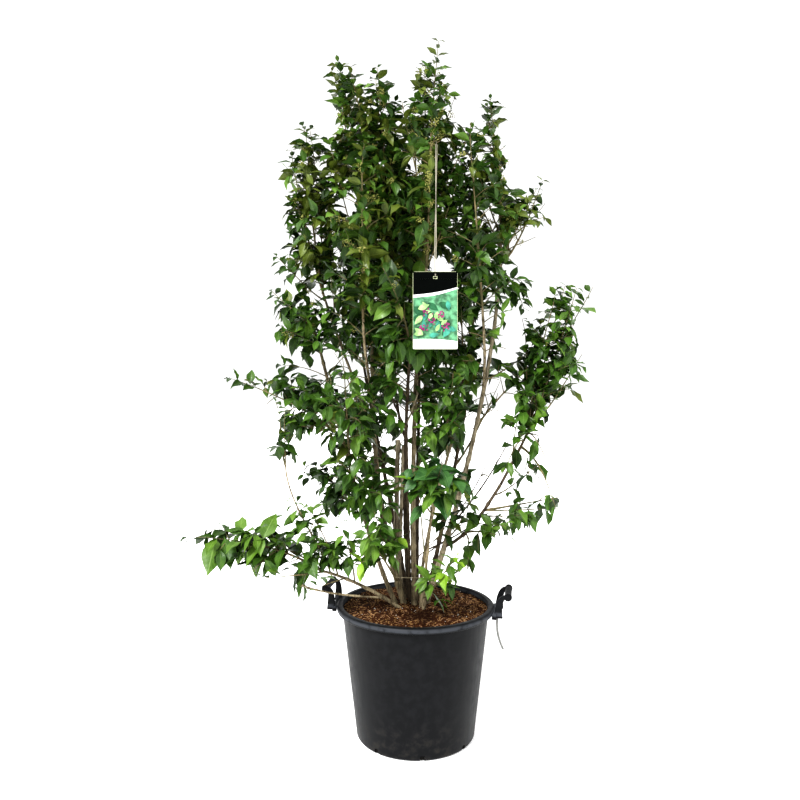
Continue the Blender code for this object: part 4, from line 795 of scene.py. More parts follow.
class Shape:
    """Points and faces of a mesh that grows piece by piece."""

    def __init__(self):
        self.points = []
        self.faces = []

    def tube(self, centres, radii, sides, capped=True):
        """Tube through centres; a radius is a number or a list with one value a side."""
        first = len(self.points)
        side = None
        for i, centre in enumerate(centres):
            ahead = centres[min(i + 1, len(centres) - 1)] - centres[max(i - 1, 0)]
            ahead.normalize()
            if side is None:
                side = ahead.orthogonal().normalized()
            side = (side - ahead * side.dot(ahead)).normalized()
            other = ahead.cross(side)
            around = radii[i] if isinstance(radii[i], list) else [radii[i]] * sides
            for k in range(sides):
                angle = math.tau * k / sides
                out = side * math.cos(angle) + other * math.sin(angle)
                self.points.append(centre + out * around[k])
        for i in range(len(centres) - 1):
            low = first + i * sides
            for k in range(sides):
                after = (k + 1) % sides
                self.faces.append((low + k, low + after, low + sides + after, low + sides + k))
        if capped:
            self.faces.append(tuple(first + k for k in reversed(range(sides))))
            last = first + (len(centres) - 1) * sides
            self.faces.append(tuple(last + k for k in range(sides)))

    def shown(self, name, material, smooth=True):
        """Object of the points and faces so far."""
        return show(name, mesh_of(name, self.points, self.faces, material, smooth))


def on_curve(controls, t):
    """Point of the Bezier curve over a control polygon."""
    points = list(controls)
    while len(points) > 1:
        points = [a.lerp(b, t) for a, b in zip(points, points[1:])]
    return points[0]


def curve_points(controls, count):
    """Points of a curve at even shares, a number of steps apart."""
    return [on_curve(controls, i / count) for i in range(count + 1)]


def tapered(foot, tip, count):
    """Radii that run evenly from one to another."""
    return [foot + (tip - foot) * i / count for i in range(count + 1)]


class Limb:
    """Tapering limb along a smooth curve."""

    def __init__(self, controls, foot_radius, tip_radius, flared=False):
        self.controls = [Vector(point) for point in controls]
        self.foot_radius = foot_radius
        self.tip_radius = tip_radius
        self.flared = flared
        steps = curve_points(self.controls, 20)
        self.length = sum((b - a).length for a, b in zip(steps, steps[1:]))

    def at(self, t):
        return on_curve(self.controls, t)

    def heading(self, t):
        step = 0.01
        return (self.at(min(t + step, 1.0)) - self.at(max(t - step, 0.0))).normalized()

    def radius(self, t):
        plain = self.foot_radius + (self.tip_radius - self.foot_radius) * t
        if not self.flared:
            return plain
        return plain * (1.0 + FOOT_FLARE * math.exp(-t * self.length / FLARE_HEIGHT))

    def knotted(self, swell, every):
        """Centres and radii of a thin limb's rings, swollen at every so many of them."""
        count = round(self.length / THIN_RING_SPACING)
        radii = [self.radius(i / count) * (1.0 + swell * (i % every == 0)) for i in range(count + 1)]
        return curve_points(self.controls, count), radii


def mass_stem(carrier, place_on, leaving, tip, foot_radius):
    """Stem of a mass, from its place on the carrier to its tip."""
    foot = carrier.at(place_on)
    return Limb((foot, foot + Vector(leaving), tip), foot_radius, AXIS_TIP_RADIUS)


def half_width(wide, t):
    """Half-width of a mass at a share of its stem: narrow at the foot, full, then drawn to a tip."""
    return wide * math.sin(math.pi * (0.12 + 0.80 * t)) ** 0.6


def bark_finish(name, shade, light, youth=0.0):
    """Streaked bark with pale pores; youth lets the green of young wood through."""
    make = Finish(name, {"Roughness": 0.82, "Specular IOR Level": 0.30})
    streaks = make.noise(make.place((1.0, 1.0, 0.14)), 170.0, 5.0, 0.65)
    patches = make.noise(make.place(), 26.0, 3.0)
    pores = make.add("ShaderNodeTexVoronoi", None, {"Vector": make.place((1.0, 1.0, 0.55)), "Scale": 240.0},
                     "Distance").ramp(0.10, 0.24, 1.0, 0.0)
    pores = pores * (patches > 0.46)
    wood = make.mix((streaks * 0.9 + patches * 0.4).ramp(0.46, 0.80), shade, light)
    wood = make.mix((1.0 - patches).ramp(0.40, 0.62) * youth, wood, YOUNG_BARK)
    pale = tuple(min(1.0, 1.35 * channel + 0.05) for channel in light)
    colour = make.mix(pores * 0.55, wood, pale)
    height = streaks * 0.6 + pores * 0.9 + patches * 0.3
    return make.finished(Base_Color=colour, Normal=make.bump(height, 0.55, 0.0006))


def leaf_finish(name, deep, lit, vein):
    """Leaf of one base colour, clouded from place to place, with veins along its own UV map."""
    make = Finish(name, {"Specular IOR Level": 0.28})
    across, along, _ = make.split(make.add("ShaderNodeTexCoord", output="UV"))
    edge = abs(across - 0.5) * 2.0
    midrib = edge.ramp(0.03, 0.10, 1.0, 0.0)
    phase = (along * 8.5 - edge * 1.5).fraction()
    side_veins = abs(phase - 0.5).ramp(0.44, 0.50) * edge.ramp(0.75, 1.0, 1.0, 0.2)
    veins = midrib.most(side_veins * 0.7)
    cloud = make.noise(make.place(), 24.0, 3.0)
    blade = make.mix(cloud.ramp(0.34, 0.66), deep, lit)
    colour = make.mix(veins * 0.55, blade, vein)
    quilt = (1.0 - veins) * edge.ramp(0.0, 0.9, 0.7, 1.0) + cloud * 0.15
    rough = make.noise(make.place(), 140.0, 2.0).ramp(0.3, 0.7, 0.34, 0.52)
    return make.finished(Base_Color=colour, Roughness=rough, Normal=make.bump(quilt, 0.50, 0.0010))


def berry_finish():
    make = Finish("young_fruit", {"Roughness": 0.5, "Specular IOR Level": 0.4})
    tone = make.noise(make.place(), 90.0, 2.0).ramp(0.35, 0.65)
    return make.finished(Base_Color=make.mix(tone, (0.200, 0.205, 0.040), (0.300, 0.290, 0.085)))


def plastic_finish(name, scuffed):
    """Charcoal moulded plastic: faint mottling, dust that gathers low, rubbed streaks and short scratches,
    with a painted highlight on the lip's bead and painted shade under the lip.
    """
    make = Finish(name, {"Specular IOR Level": 0.10})
    mottle = make.noise(make.place(), 38.0, 4.0)
    drawn = make.noise(make.place((1.0, 1.0, 0.10)), 70.0, 3.0)
    grain = make.noise(make.place(), 900.0, 2.0)
    dark = make.mix(mottle.ramp(0.35, 0.70), (0.0036, 0.0040, 0.0046), (0.0066, 0.0070, 0.0080))
    height = make.split(make.place())[2]
    dust = height.ramp(0.0, DUST_HEIGHT, 0.55, 0.0) * mottle.ramp(0.45, 0.75)
    plain = make.mix(dust, dark, (0.026, 0.023, 0.018))
    # Painted highlight in lighter bluish patches on the lip's bead, then painted shade as a dark band under
    # the lip
    bead_highlight = height.ramp(*BEAD_HIGHLIGHT_FOOT) * height.ramp(*BEAD_HIGHLIGHT_TOP, 1.0, 0.0)
    plain = make.mix(bead_highlight * mottle.ramp(0.22, 0.52), plain, (0.036, 0.039, 0.045))
    lip_shade = height.ramp(*LIP_SHADE_FOOT) * height.ramp(*LIP_SHADE_TOP, 1.0, 0.0)
    plain = make.mix(lip_shade * 0.85, plain, (0.0005, 0.0006, 0.0008))
    scratch_field = make.noise(make.place((1.0, 1.0, 5.0)), 34.0, 6.0, 0.75)
    scratches = scratch_field.ramp(0.695, 0.735) * drawn.ramp(0.50, 0.62) * scuffed
    colour = make.mix(scratches * 0.55, plain, (0.120, 0.122, 0.126))
    rough = (mottle * 0.22 + drawn * 0.16 + grain * 0.06).ramp(0.12, 0.34, 0.36, 0.58)
    bumps = mottle * 0.5 + grain * 0.08 - scratches * 0.4
    return make.finished(Base_Color=colour, Roughness=rough, Normal=make.bump(bumps, 0.25, 0.0006))


def mix_finish(name, deep, lit):
    """Loose potting mix or one of its fibres."""
    make = Finish(name, {"Roughness": 0.92, "Specular IOR Level": 0.06})
    fine = make.noise(make.place(), 160.0, 5.0, 0.7)
    broad = make.noise(make.place(), 22.0, 2.0)
    dry = make.mix((fine * 0.8 + broad * 0.4).ramp(0.42, 0.80), deep, lit)
    # Darker towards a place in front of the stems
    away = make.add("ShaderNodeVectorMath", {"operation": "DISTANCE"},
                    {0: make.place(), 1: DARK_PATCH_PLACE}, "Value")
    dark_patch = (away + broad * 0.05).ramp(0.040, 0.110, 0.88, 0.0)
    colour = make.mix(dark_patch, dry, (0.010, 0.003, 0.001))
    return make.finished(Base_Color=colour, Normal=make.bump(fine, 0.8, 0.002))


def soil_finish():
    """Potting mix as a block: brown on top, painted near black as shade where the pot's wall hides it."""
    make = Finish("potting_mix", {"Roughness": 0.95, "Specular IOR Level": 0.15})
    # Painted shade: near black below the top few millimetres, where the wall shades the mix
    top = make.split(make.place())[2].ramp(SOIL_TOP - 0.010, SOIL_TOP - 0.004)
    grit = make.noise(make.place(), 220.0, 4.0)
    brown = make.mix(grit.ramp(0.35, 0.70), (0.014, 0.004, 0.001), (0.090, 0.036, 0.014))
    return make.finished(Base_Color=make.mix(top, (0.004, 0.0035, 0.003), brown),
                         Normal=make.bump(grit, 0.5, 0.001))


def plain_finish(name, colour, roughness, spread=0.12, shine=0.35):
    """Even finish whose colour shifts a little over the surface."""
    make = Finish(name, {"Roughness": roughness, "Specular IOR Level": shine})
    cloud = make.noise(make.place(), 65.0, 3.0)
    low = tuple(channel * (1.0 - spread) for channel in colour)
    high = tuple(min(1.0, channel * (1.0 + spread)) for channel in colour)
    return make.finished(Base_Color=make.mix(cloud.ramp(0.3, 0.7), low, high),
                         Normal=make.bump(cloud, 0.06, 0.0005))


def revolved(name, profile, material, segments=POT_SEGMENTS):
    """Closed body turned about the Z axis from a profile of radius and height, its ends on the axis."""
    points, faces = [], []
    ring_of = []
    for radius, height in profile:
        first = len(points)
        if radius == 0.0:
            points.append((0.0, 0.0, height))
            ring_of.append([first] * segments)
            continue
        for k in range(segments):
            angle = math.tau * k / segments
            points.append((radius * math.cos(angle), radius * math.sin(angle), height))
        ring_of.append(list(range(first, first + segments)))
    for low, high in zip(ring_of, ring_of[1:]):
        for k in range(segments):
            after = (k + 1) % segments
            faces.append(tuple(dict.fromkeys((low[k], high[k], high[after], low[after]))))
    return mesh_of(name, points, faces, material)


def arc(centre, radius, start, end, steps):
    """Points of an arc from one angle to another, in degrees."""
    turns = [math.radians(start + (end - start) * i / steps) for i in range(steps + 1)]
    return [(centre[0] + radius * math.cos(turn), centre[1] + radius * math.sin(turn)) for turn in turns]


def body_radius(height):
    """Outer radius of the pot's wall at a height."""
    return BASE_RADIUS + (BODY_TOP_RADIUS - BASE_RADIUS) * height / (POT_HEIGHT - LIP_DEPTH)


def shade(mesh, sharp_from):
    """Smooth shading with edges kept sharp from an angle."""
    mesh.shade_smooth()
    mesh.set_sharp_from_angle(angle=sharp_from)


def slab(name, outline, thickness, matrix, material, bevel=0.0, smooth=True):
    """Plate of an outline in the XY plane, extruded both ways along Z, with rounded edges."""
    bm = bmesh.new()
    face = bm.faces.new([bm.verts.new((x, y, -thickness / 2.0)) for x, y in outline])
    grown = bmesh.ops.extrude_face_region(bm, geom=[face])
    tops = [item for item in grown["geom"] if isinstance(item, bmesh.types.BMVert)]
    bmesh.ops.translate(bm, verts=tops, vec=(0.0, 0.0, thickness))
    bmesh.ops.recalc_face_normals(bm, faces=bm.faces)
    if bevel:
        rims = [edge for edge in bm.edges if edge.calc_face_angle(0.0) > SHARP_ANGLE]
        bmesh.ops.bevel(bm, geom=rims, offset=bevel, segments=3, profile=0.5, affect="EDGES")
    bm.transform(matrix)
    if matrix.determinant() < 0.0:
        bmesh.ops.reverse_faces(bm, faces=bm.faces)
    mesh = bpy.data.meshes.new(name)
    bm.to_mesh(mesh)
    bm.free()
    mesh.materials.append(material)
    if smooth:
        shade(mesh, SHARP_ANGLE)
    return mesh


def joined(name, meshes):
    """One object of several meshes."""
    bm = bmesh.new()
    for mesh in meshes:
        bm.from_mesh(mesh)
    whole = bpy.data.meshes.new(name)
    bm.to_mesh(whole)
    bm.free()
    whole.materials.append(meshes[0].materials[0])
    return show(name, whole)


def cut_out(piece, cutter):
    """Cut one object's shape out of another and drop the cutter."""
    cut = piece.modifiers.new("Cut", "BOOLEAN")
    cut.operation = "DIFFERENCE"
    cut.object = cutter
    piece.data = bpy.data.meshes.new_from_object(piece.evaluated_get(bpy.context.evaluated_depsgraph_get()))
    piece.modifiers.clear()
    bpy.data.objects.remove(cutter)


def make_pot(finish):
    """Turned tub with its turned-down lip, drain slots and the nub of its mould."""
    inner_top = body_radius(POT_HEIGHT) - WALL
    lip_bottom = POT_HEIGHT - LIP_DEPTH
    ceiling = POT_HEIGHT - LIP_TOP_THICKNESS
    skirt = RIM_RADIUS - LIP_TAPER
    under_lip = skirt - LIP_CURL - LIP_EDGE
    profile = [(0.0, FLOOR), (body_radius(FLOOR) - WALL, FLOOR), (inner_top - 0.0002, POT_HEIGHT - 0.002)]
    profile += arc((inner_top + MOUTH_ROUND, POT_HEIGHT - MOUTH_ROUND), MOUTH_ROUND, 180.0, 90.0, 3)
    profile += arc((RIM_RADIUS - LIP_ROUND, POT_HEIGHT - LIP_ROUND), LIP_ROUND, 90.0, 0.0, 10)
    profile += arc((skirt - LIP_CURL, lip_bottom + LIP_CURL), LIP_CURL, 0.0, -90.0, 6)
    profile += [(under_lip, lip_bottom), (under_lip, ceiling), (body_radius(ceiling), ceiling)]
    profile += [(body_radius(height), height) for height in WALL_RINGS]
    profile += arc((body_radius(BASE_ROUND) - BASE_ROUND, BASE_ROUND), BASE_ROUND, 0.0, -90.0, 6)
    profile += [(FOOT_RECESS, 0.0), (FOOT_RECESS - 0.003, RECESS_DEPTH), (0.0, RECESS_DEPTH)]
    pot = show("pot_turned", revolved("pot_turned", profile, finish))
    middle, shoulder = SLOT_WIDTH / 2.0 - SLOT_ROUND, SLOT_HEIGHT - SLOT_ROUND
    outline = [(-SLOT_WIDTH / 2.0, -0.01), (SLOT_WIDTH / 2.0, -0.01)]
    outline += arc((middle, shoulder), SLOT_ROUND, 0, 90, 4)
    outline += arc((-middle, shoulder), SLOT_ROUND, 90, 180, 4)
    cutters = []
    for i in range(SLOT_COUNT):
        turn = Matrix.Rotation(SLOT_FIRST_ANGLE + math.tau * i / SLOT_COUNT, 4, "Z")
        outward = Matrix(((0, 0, 1, BASE_RADIUS), (1, 0, 0, 0), (0, 1, 0, 0), (0, 0, 0, 1)))
        cutters.append(slab("slot", outline, SLOT_DEPTH, turn @ outward, finish, smooth=False))
    cut_out(pot, joined("slot_cutter", cutters))
    shade(pot.data, POT_SHARP_ANGLE)
    settle(pot, "pot_plastic", "pot")
    nub_place = Matrix.Rotation(NUB_ANGLE, 4, "Z") @ Matrix.Translation((skirt, 0.0, lip_bottom + 0.001))
    nub = slab("mould_nub", arc((0.0, 0.0), NUB_RADIUS, 0, 360, 16)[:-1], NUB_THICKNESS,
               nub_place @ Matrix.Rotation(math.radians(90.0), 4, "Y"), finish, NUB_BEVEL)
    settle(show("pot_mould_nub", nub), "pot_plastic")


def make_handle(node, turn, finish):
    """Ribbed grip between two hooked arms with round bosses, on a lug that wraps the lip."""
    reach = GRIP_REACHES[node]
    spin = Matrix.Rotation(turn, 4, "Z")
    grip_end = GRIP_LENGTH / 2.0 - 0.002
    grip_profile = [(0.0, grip_end)]
    for i in range(GRIP_RIBS * 4, -1, -1):
        share = i / (GRIP_RIBS * 4)
        swell = GRIP_RADIUS - RIB_DEPTH * (0.5 - 0.5 * math.cos(math.tau * share * GRIP_RIBS))
        grip_profile.append((swell, (share - 0.5) * 2.0 * (ARM_SPREAD - 0.003)))
    grip_profile.append((0.0, -grip_end))
    grip = revolved(f"{node}_grip", grip_profile, finish, GRIP_SEGMENTS)
    grip_place = spin @ Matrix.Translation((reach, 0.0, GRIP_HEIGHT))
    grip.transform(grip_place @ Matrix.Rotation(math.pi / 2.0, 4, "X"))
    meshes = [grip]
    head = Vector((reach, GRIP_HEIGHT))
    path = (ARM_FOOT, ARM_FOOT + ARM_BEND[0], head + ARM_BEND[1], head)
    outer, inner = [], []
    for i in range(ARM_STEPS + 1):
        t = i / ARM_STEPS
        point = on_curve(path, t)
        ahead = (on_curve(path, min(1.0, t + 0.02)) - on_curve(path, max(0.0, t - 0.02))).normalized()
        half = ARM_WIDTH / 2.0 * (1.0 - ARM_TAPER * t)
        outer.append((point.x + ahead.y * half, point.y - ahead.x * half))
        inner.append((point.x - ahead.y * half, point.y + ahead.x * half))
    cap = math.degrees(math.atan2(ahead.y, ahead.x))
    round_end = arc(head, BOSS_RADIUS, cap - ARM_END_SWEEP, cap + ARM_END_SWEEP, 18)
    outline = outer[:-2] + round_end + inner[-3::-1]
    upright = Matrix(((1, 0, 0, 0), (0, 0, 1, 0), (0, 1, 0, 0), (0, 0, 0, 1)))
    for side in (-1.0, 1.0):
        arm_place = spin @ Matrix.Translation((0.0, side * ARM_SPREAD, 0.0)) @ upright
        boss_place = (reach, side * (ARM_SPREAD + ARM_THICKNESS / 2.0 - 0.001), GRIP_HEIGHT)
        boss = revolved("boss", BOSS_PROFILE[::-1], finish, BOSS_SEGMENTS)
        boss.transform(spin @ Matrix.Translation(boss_place) @ Matrix.Rotation(-side * math.pi / 2.0, 4, "X"))
        meshes += [slab("arm", outline, ARM_THICKNESS, arm_place, finish, ARM_BEVEL), boss]
    half_turn = math.degrees(math.asin(LUG_HALF_SPAN / LUG_OUTER))
    lug = arc((0.0, 0.0), LUG_OUTER, -half_turn, half_turn, 16)
    lug += arc((0.0, 0.0), RIM_RADIUS + LUG_CLEARANCE, half_turn, -half_turn, 16)
    lug_place = spin @ Matrix.Translation((0.0, 0.0, (LUG_BOTTOM + LUG_TOP) / 2.0))
    meshes.append(slab("lug", lug, LUG_TOP - LUG_BOTTOM, lug_place, finish, LUG_BEVEL))
    handle = joined(f"{node}_moulded", meshes)
    shade(handle.data, SHARP_ANGLE)
    settle(handle, "pot_plastic", node)


def ribbon(shape, points, aside, wide, thick):
    """Flat closed strip through points; aside is the way across it at each point."""
    first = len(shape.points)
    for i, point in enumerate(points):
        ahead = (points[min(i + 1, len(points) - 1)] - points[max(i - 1, 0)]).normalized()
        across = aside[i].normalized()
        face = across.cross(ahead).normalized()
        for x, y in ((-1, -1), (1, -1), (1, 1), (-1, 1)):
            shape.points.append(point + across * (x * wide / 2.0) + face * (y * thick / 2.0))
    for i in range(len(points) - 1):
        low = first + 4 * i
        for k in range(4):
            after = (k + 1) % 4
            shape.faces.append((low + k, low + after, low + 4 + after, low + 4 + k))
    shape.faces.append((first + 3, first + 2, first + 1, first))
    last = first + 4 * (len(points) - 1)
    shape.faces.append((last, last + 1, last + 2, last + 3))


def make_tie(finish):
    """Thin strip that hangs under the near end of the right handle's lug."""
    spin = Matrix.Rotation(HANDLE_TURN, 4, "Z")
    top = spin @ Vector((LUG_OUTER - 0.004, 2.0 * ARM_THICKNESS - LUG_HALF_SPAN, LUG_BOTTOM + 0.0005))
    shares = [i / RIBBON_STEPS for i in range(RIBBON_STEPS + 1)]
    points = [top + Vector((TIE_CURL * (1.6 * t * t - 0.6 * t), 0.0, -TIE_DROP * t)) for t in shares]
    aside = [Vector((-0.9, -0.5 + 0.3 * t, 0.0)) for t in shares]
    strip = Shape()
    ribbon(strip, points, aside, TIE_WIDTH, TIE_THICKNESS)
    settle(strip.shown("tie_strip", finish, False), "tie_plastic", "handle_tie")


def mulch_height(x, y):
    """Height of the loose bed: low at the wall, mounded at the stems, lumpy all over."""
    reach = math.hypot(x, y) / BED_RADIUS
    bumps = sum(noise.noise(Vector((x * fine, y * fine, seed))) * rise for fine, seed, rise in BED_BUMPS)
    return SOIL_TOP + max(0.0006, 0.0018 + BED_RISE * (1.0 - reach ** 1.5) + bumps)


def make_bed(finishes):
    """Lumpy top of the potting mix, with chips, fibres and pale grains strewn over it."""
    points = [(0.0, 0.0, mulch_height(0.0, 0.0))]
    for i in range(1, BED_RINGS + 1):
        radius = BED_RADIUS * i / BED_RINGS
        for k in range(BED_SIDES):
            x, y = radius * math.cos(math.tau * k / BED_SIDES), radius * math.sin(math.tau * k / BED_SIDES)
            points.append((x, y, mulch_height(x, y)))
    points += [(x, y, SOIL_TOP - 0.0010) for x, y, _ in points[-BED_SIDES:]]
    faces = [(0, 1 + k, 1 + (k + 1) % BED_SIDES) for k in range(BED_SIDES)]
    for i in range(BED_RINGS):
        low = 1 + i * BED_SIDES
        for k in range(BED_SIDES):
            after = (k + 1) % BED_SIDES
            faces.append((low + k, low + BED_SIDES + k, low + BED_SIDES + after, low + after))
    base = len(points) - BED_SIDES
    faces.append(tuple(base + k for k in reversed(range(BED_SIDES))))
    bed = show("mulch_bed", mesh_of("mulch_bed", points, faces, finishes["mulch"]))
    settle(bed, "potting_mix")
    for name, (finish, size, share, seed) in STREWN.items():
        settle(strew(name, finishes[finish], size, share, seed, bed.data.copy()), "potting_mix")


def strew(name, finish, size, share, seed, bed):
    """Bits of one kind laid over the upper faces of the bed."""
    grow = Growth(name, {"Length": size[0], "Width": size[1], "Thickness": size[2], "Share": share,
                         "Seed": seed})
    upward = grow.split(grow.add("GeometryNodeInputNormal"))[2] > 0.4
    points = grow.add("GeometryNodeDistributePointsOnFaces", None,
                      {"Mesh": grow.input("Geometry"), "Selection": upward, "Density": grow.input("Share"),
                       "Seed": grow.input("Seed")})
    lump = grow.add("GeometryNodeMeshIcoSphere", None, {"Radius": 1.0, "Subdivisions": 1})
    measures = grow.add("ShaderNodeCombineXYZ", None, {0: grow.input("Length"), 1: grow.input("Width"),
                                                       2: grow.input("Thickness")})
    shaped = grow.add("GeometryNodeTransform", None, {"Geometry": lump, "Scale": measures})
    turns = grow.random((-0.5, -0.5, 0.0), (0.5, 0.5, 6.28), grow.input("Seed"), "FLOAT_VECTOR")
    sizes = grow.random((0.5, 0.5, 0.5), (1.6, 1.4, 1.3), grow.input("Seed") + 1.0, "FLOAT_VECTOR")
    bits = grow.add("GeometryNodeInstanceOnPoints", None, {"Points": points, "Instance": shaped,
                                                           "Rotation": turns, "Scale": sizes})
    grow.close(bits, finish, False)
    return grow.run(name, bed)


def card_outline(wide, tall, corner):
    """Rounded rectangle about its middle."""
    x, y = wide / 2.0 - corner, tall / 2.0 - corner
    points = []
    for quarter, centre in enumerate(((x, y), (-x, y), (-x, -y), (x, -y))):
        points += arc(centre, corner, 90.0 * quarter, 90.0 * quarter + 90.0, 6)
    return points


def bowed_edge(left, right, bow):
    """Edge across the printed face that rises or falls from left to right with a bow."""
    shares = [i / PRINT_EDGE_STEPS for i in range(PRINT_EDGE_STEPS + 1)]
    return [(PRINT_HALF_WIDTH * (2.0 * t - 1.0), left + (right - left) * t + bow * math.sin(math.pi * t))
            for t in shares]


def printed_leaf(rng, size):
    """Outline of a pointed leaf somewhere in the picture, kept within it."""
    x, y = rng.uniform(*PRINTED_LEAF_X), rng.uniform(*PRINTED_LEAF_Y)
    turn, length = rng.uniform(0.0, math.tau), size * rng.uniform(*PRINTED_LEAF_SIZES)
    outline = []
    for k in range(15, -1, -1):
        t = k / 8.0 if k <= 8 else (16 - k) / 8.0
        out = 0.24 * length * math.sin(math.pi * t ** 0.8) * (1 if k <= 8 else -1)
        along = (t - 0.5) * length
        across_card = x + along * math.cos(turn) - out * math.sin(turn)
        up_card = y + along * math.sin(turn) + out * math.cos(turn)
        outline.append((min(max(across_card, -PRINT_HALF_WIDTH), PRINT_HALF_WIDTH),
                        min(max(up_card, PICTURE_LOW), PICTURE_HIGH)))
    return outline


def card_areas():
    """Flat areas of the card by piece: outlines and the finish of each."""
    wide, high = PRINT_HALF_WIDTH, PRINT_HALF_HEIGHT
    white_low = bowed_edge(*(TAG_HEIGHT / 2.0 - drop for drop in WHITE_DROPS), -0.006)
    head_low = bowed_edge(*(TAG_HEIGHT / 2.0 - drop for drop in HEAD_DROPS), -0.004)
    picture_low = bowed_edge(*(rise - TAG_HEIGHT / 2.0 for rise in PICTURE_RISES), 0.003)
    foot_high = bowed_edge(*(rise - TAG_HEIGHT / 2.0 for rise in FOOT_RISES), 0.003)
    slot_low = TAG_HEIGHT / 2.0 - TAG_SLOT_DROP - 0.004
    slot_high = slot_low + 0.008
    beside = [(-wide, slot_low), (-SLOT_MARGIN, slot_low), (-SLOT_MARGIN, slot_high), (-wide, slot_high)]
    return {
        "tag_picture": ("sky", [picture_low + white_low[::-1]]),
        "tag_white": ("white", [white_low + head_low[::-1],
                                [(-wide, -high), (wide, -high)] + foot_high[::-1]]),
        "tag_head": ("black", [head_low + [(wide, slot_low), (-wide, slot_low)],
                               [(-wide, slot_high), (wide, slot_high), (wide, high), (-wide, high)],
                               beside, [(-x, y) for x, y in beside[::-1]]]),
    }


def make_tag(finishes):
    """Hanging card with a plain picture of leaves and berries, a dark head and a pale foot."""
    middle = Vector((TAG_LEFT + TAG_WIDTH / 2.0, TAG_Y, TAG_TOP - TAG_HEIGHT / 2.0))
    upright = Matrix.Translation(middle) @ Matrix.Rotation(math.radians(90.0), 4, "X")
    card = slab("tag_card", card_outline(TAG_WIDTH, TAG_HEIGHT, TAG_CORNER), TAG_THICKNESS, upright,
                finishes["card"], TAG_BEVEL)
    piece = show("tag_card", card)
    hole = slab("tag_hole", card_outline(TAG_SLOT_WIDTH, TAG_SLOT_HEIGHT, TAG_SLOT_CORNER), 0.01,
                upright @ Matrix.Translation((0.0, TAG_HEIGHT / 2.0 - TAG_SLOT_DROP, 0.0)), finishes["card"])
    cut_out(piece, show("tag_hole", hole))
    settle(piece, "tag_print", "tag")
    layers = itertools.count(1)

    def print_piece(name, outlines, finish):
        """One piece of flat areas, each a hair above the last."""
        meshes = []
        for outline in outlines:
            lift = TAG_THICKNESS / 2.0 + PRINT_LIFT * next(layers)
            area = mesh_of(name, [(x, y, lift) for x, y in outline], [tuple(range(len(outline)))],
                           finishes[finish], False)
            area.transform(upright)
            meshes.append(area)
        settle(joined(name, meshes), "tag_print")

    for name, (finish, outlines) in card_areas().items():
        print_piece(name, outlines, finish)
    rng = random.Random("tag picture")
    for name, finish, count, size in PRINTED_LEAVES:
        print_piece(name, [printed_leaf(rng, size) for _ in range(count)], finish)
    berries = []
    for x, y in PRINTED_CLUSTERS:
        for _ in range(PRINTED_BERRIES):
            spot = (x + rng.gauss(0.0, CLUSTER_SPREAD), y + rng.gauss(0.0, CLUSTER_SPREAD))
            berries.append(arc(spot, rng.uniform(*PRINTED_BERRY_RADII), 0, 360, 12)[:-1])
    print_piece("tag_berries", berries, "print_berry")


def make_strap(crown_stem, finishes):
    """Hanger twig, and the doubled strap that rings it and the card's hole."""
    start = crown_stem.at(HANGER_TWIG_PLACE)
    end = start + Vector(HANGER_TWIG_REACH)
    on_twig = start.lerp(end, HANGER_RING_PLACE)
    twig = Shape()
    twig.tube(curve_points((start, end), 6), tapered(*HANGER_TWIG_RADII, 6), 8)
    settle(twig.shown("hanger_twig", finishes["twig"]), "bark")
    slot_top = TAG_TOP - TAG_SLOT_DROP + TAG_SLOT_HEIGHT / 2.0
    low = Vector((TAG_LEFT + TAG_WIDTH / 2.0, TAG_Y, slot_top + 0.004))
    strip = Shape()
    for side in (-1.0, 1.0):
        points = []
        for i in range(RIBBON_STEPS + 1):
            t = i / RIBBON_STEPS
            spread = side * STRAP_HALF_GAP * math.cos(math.pi * t * 1.25)
            points.append(on_twig.lerp(low, t) + Vector((spread, side * 0.0008, 0.004 * (t - 1.0))))
        ribbon(strip, points, [Vector((1.0, 0.15 * side, 0.0))] * len(points), STRAP_STRIP, STRAP_THICKNESS)
    for centre, radius in ((on_twig - UP * 0.0006, TWIG_LOOP_RADIUS), (low - UP * 0.0005, CARD_LOOP_RADIUS)):
        loop = [centre + Vector((0.0, y, z)) for y, z in arc((0.0, 0.0), radius, 0.0, 360.0, 20)]
        strip.tube(loop, [STRAP_THICKNESS] * len(loop), 6, False)
    settle(strip.shown("strap_ribbon", finishes["strap"], False), "strap_plastic", "tag_strap")


def grow_limbs():
    """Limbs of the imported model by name, each on the soil or on its carrier."""
    limbs = {}
    for name, carrier, place_on, leaving, arriving, tip, foot_radius, tip_radius in LIMBS:
        if carrier is None:
            foot = Vector((*place_on, SOIL_TOP - FOOT_DEPTH))
        else:
            foot = limbs[carrier].at(place_on)
        tip = Vector(tip)
        controls = (foot, foot + Vector(leaving), tip - Vector(arriving), tip)
        limbs[name] = Limb(controls, foot_radius, tip_radius, carrier is None)
    return limbs


def grow_fine_twigs(limbs):
    """Thin twigs by name, each bowed a little and seated on a limb or on an earlier twig."""
    twigs = {}
    for name, carrier, place_on, tip, foot_radius, tip_radius, _ in FINE_TWIGS:
        foot = {**limbs, **twigs}[carrier].at(place_on)
        way = Vector(tip) - foot
        bow = Vector((way.x, way.y, -0.3 * way.length)) * TWIG_BOW
        twigs[name] = Limb((foot, foot + way * 0.5 + bow, Vector(tip)), foot_radius, tip_radius)
    return twigs


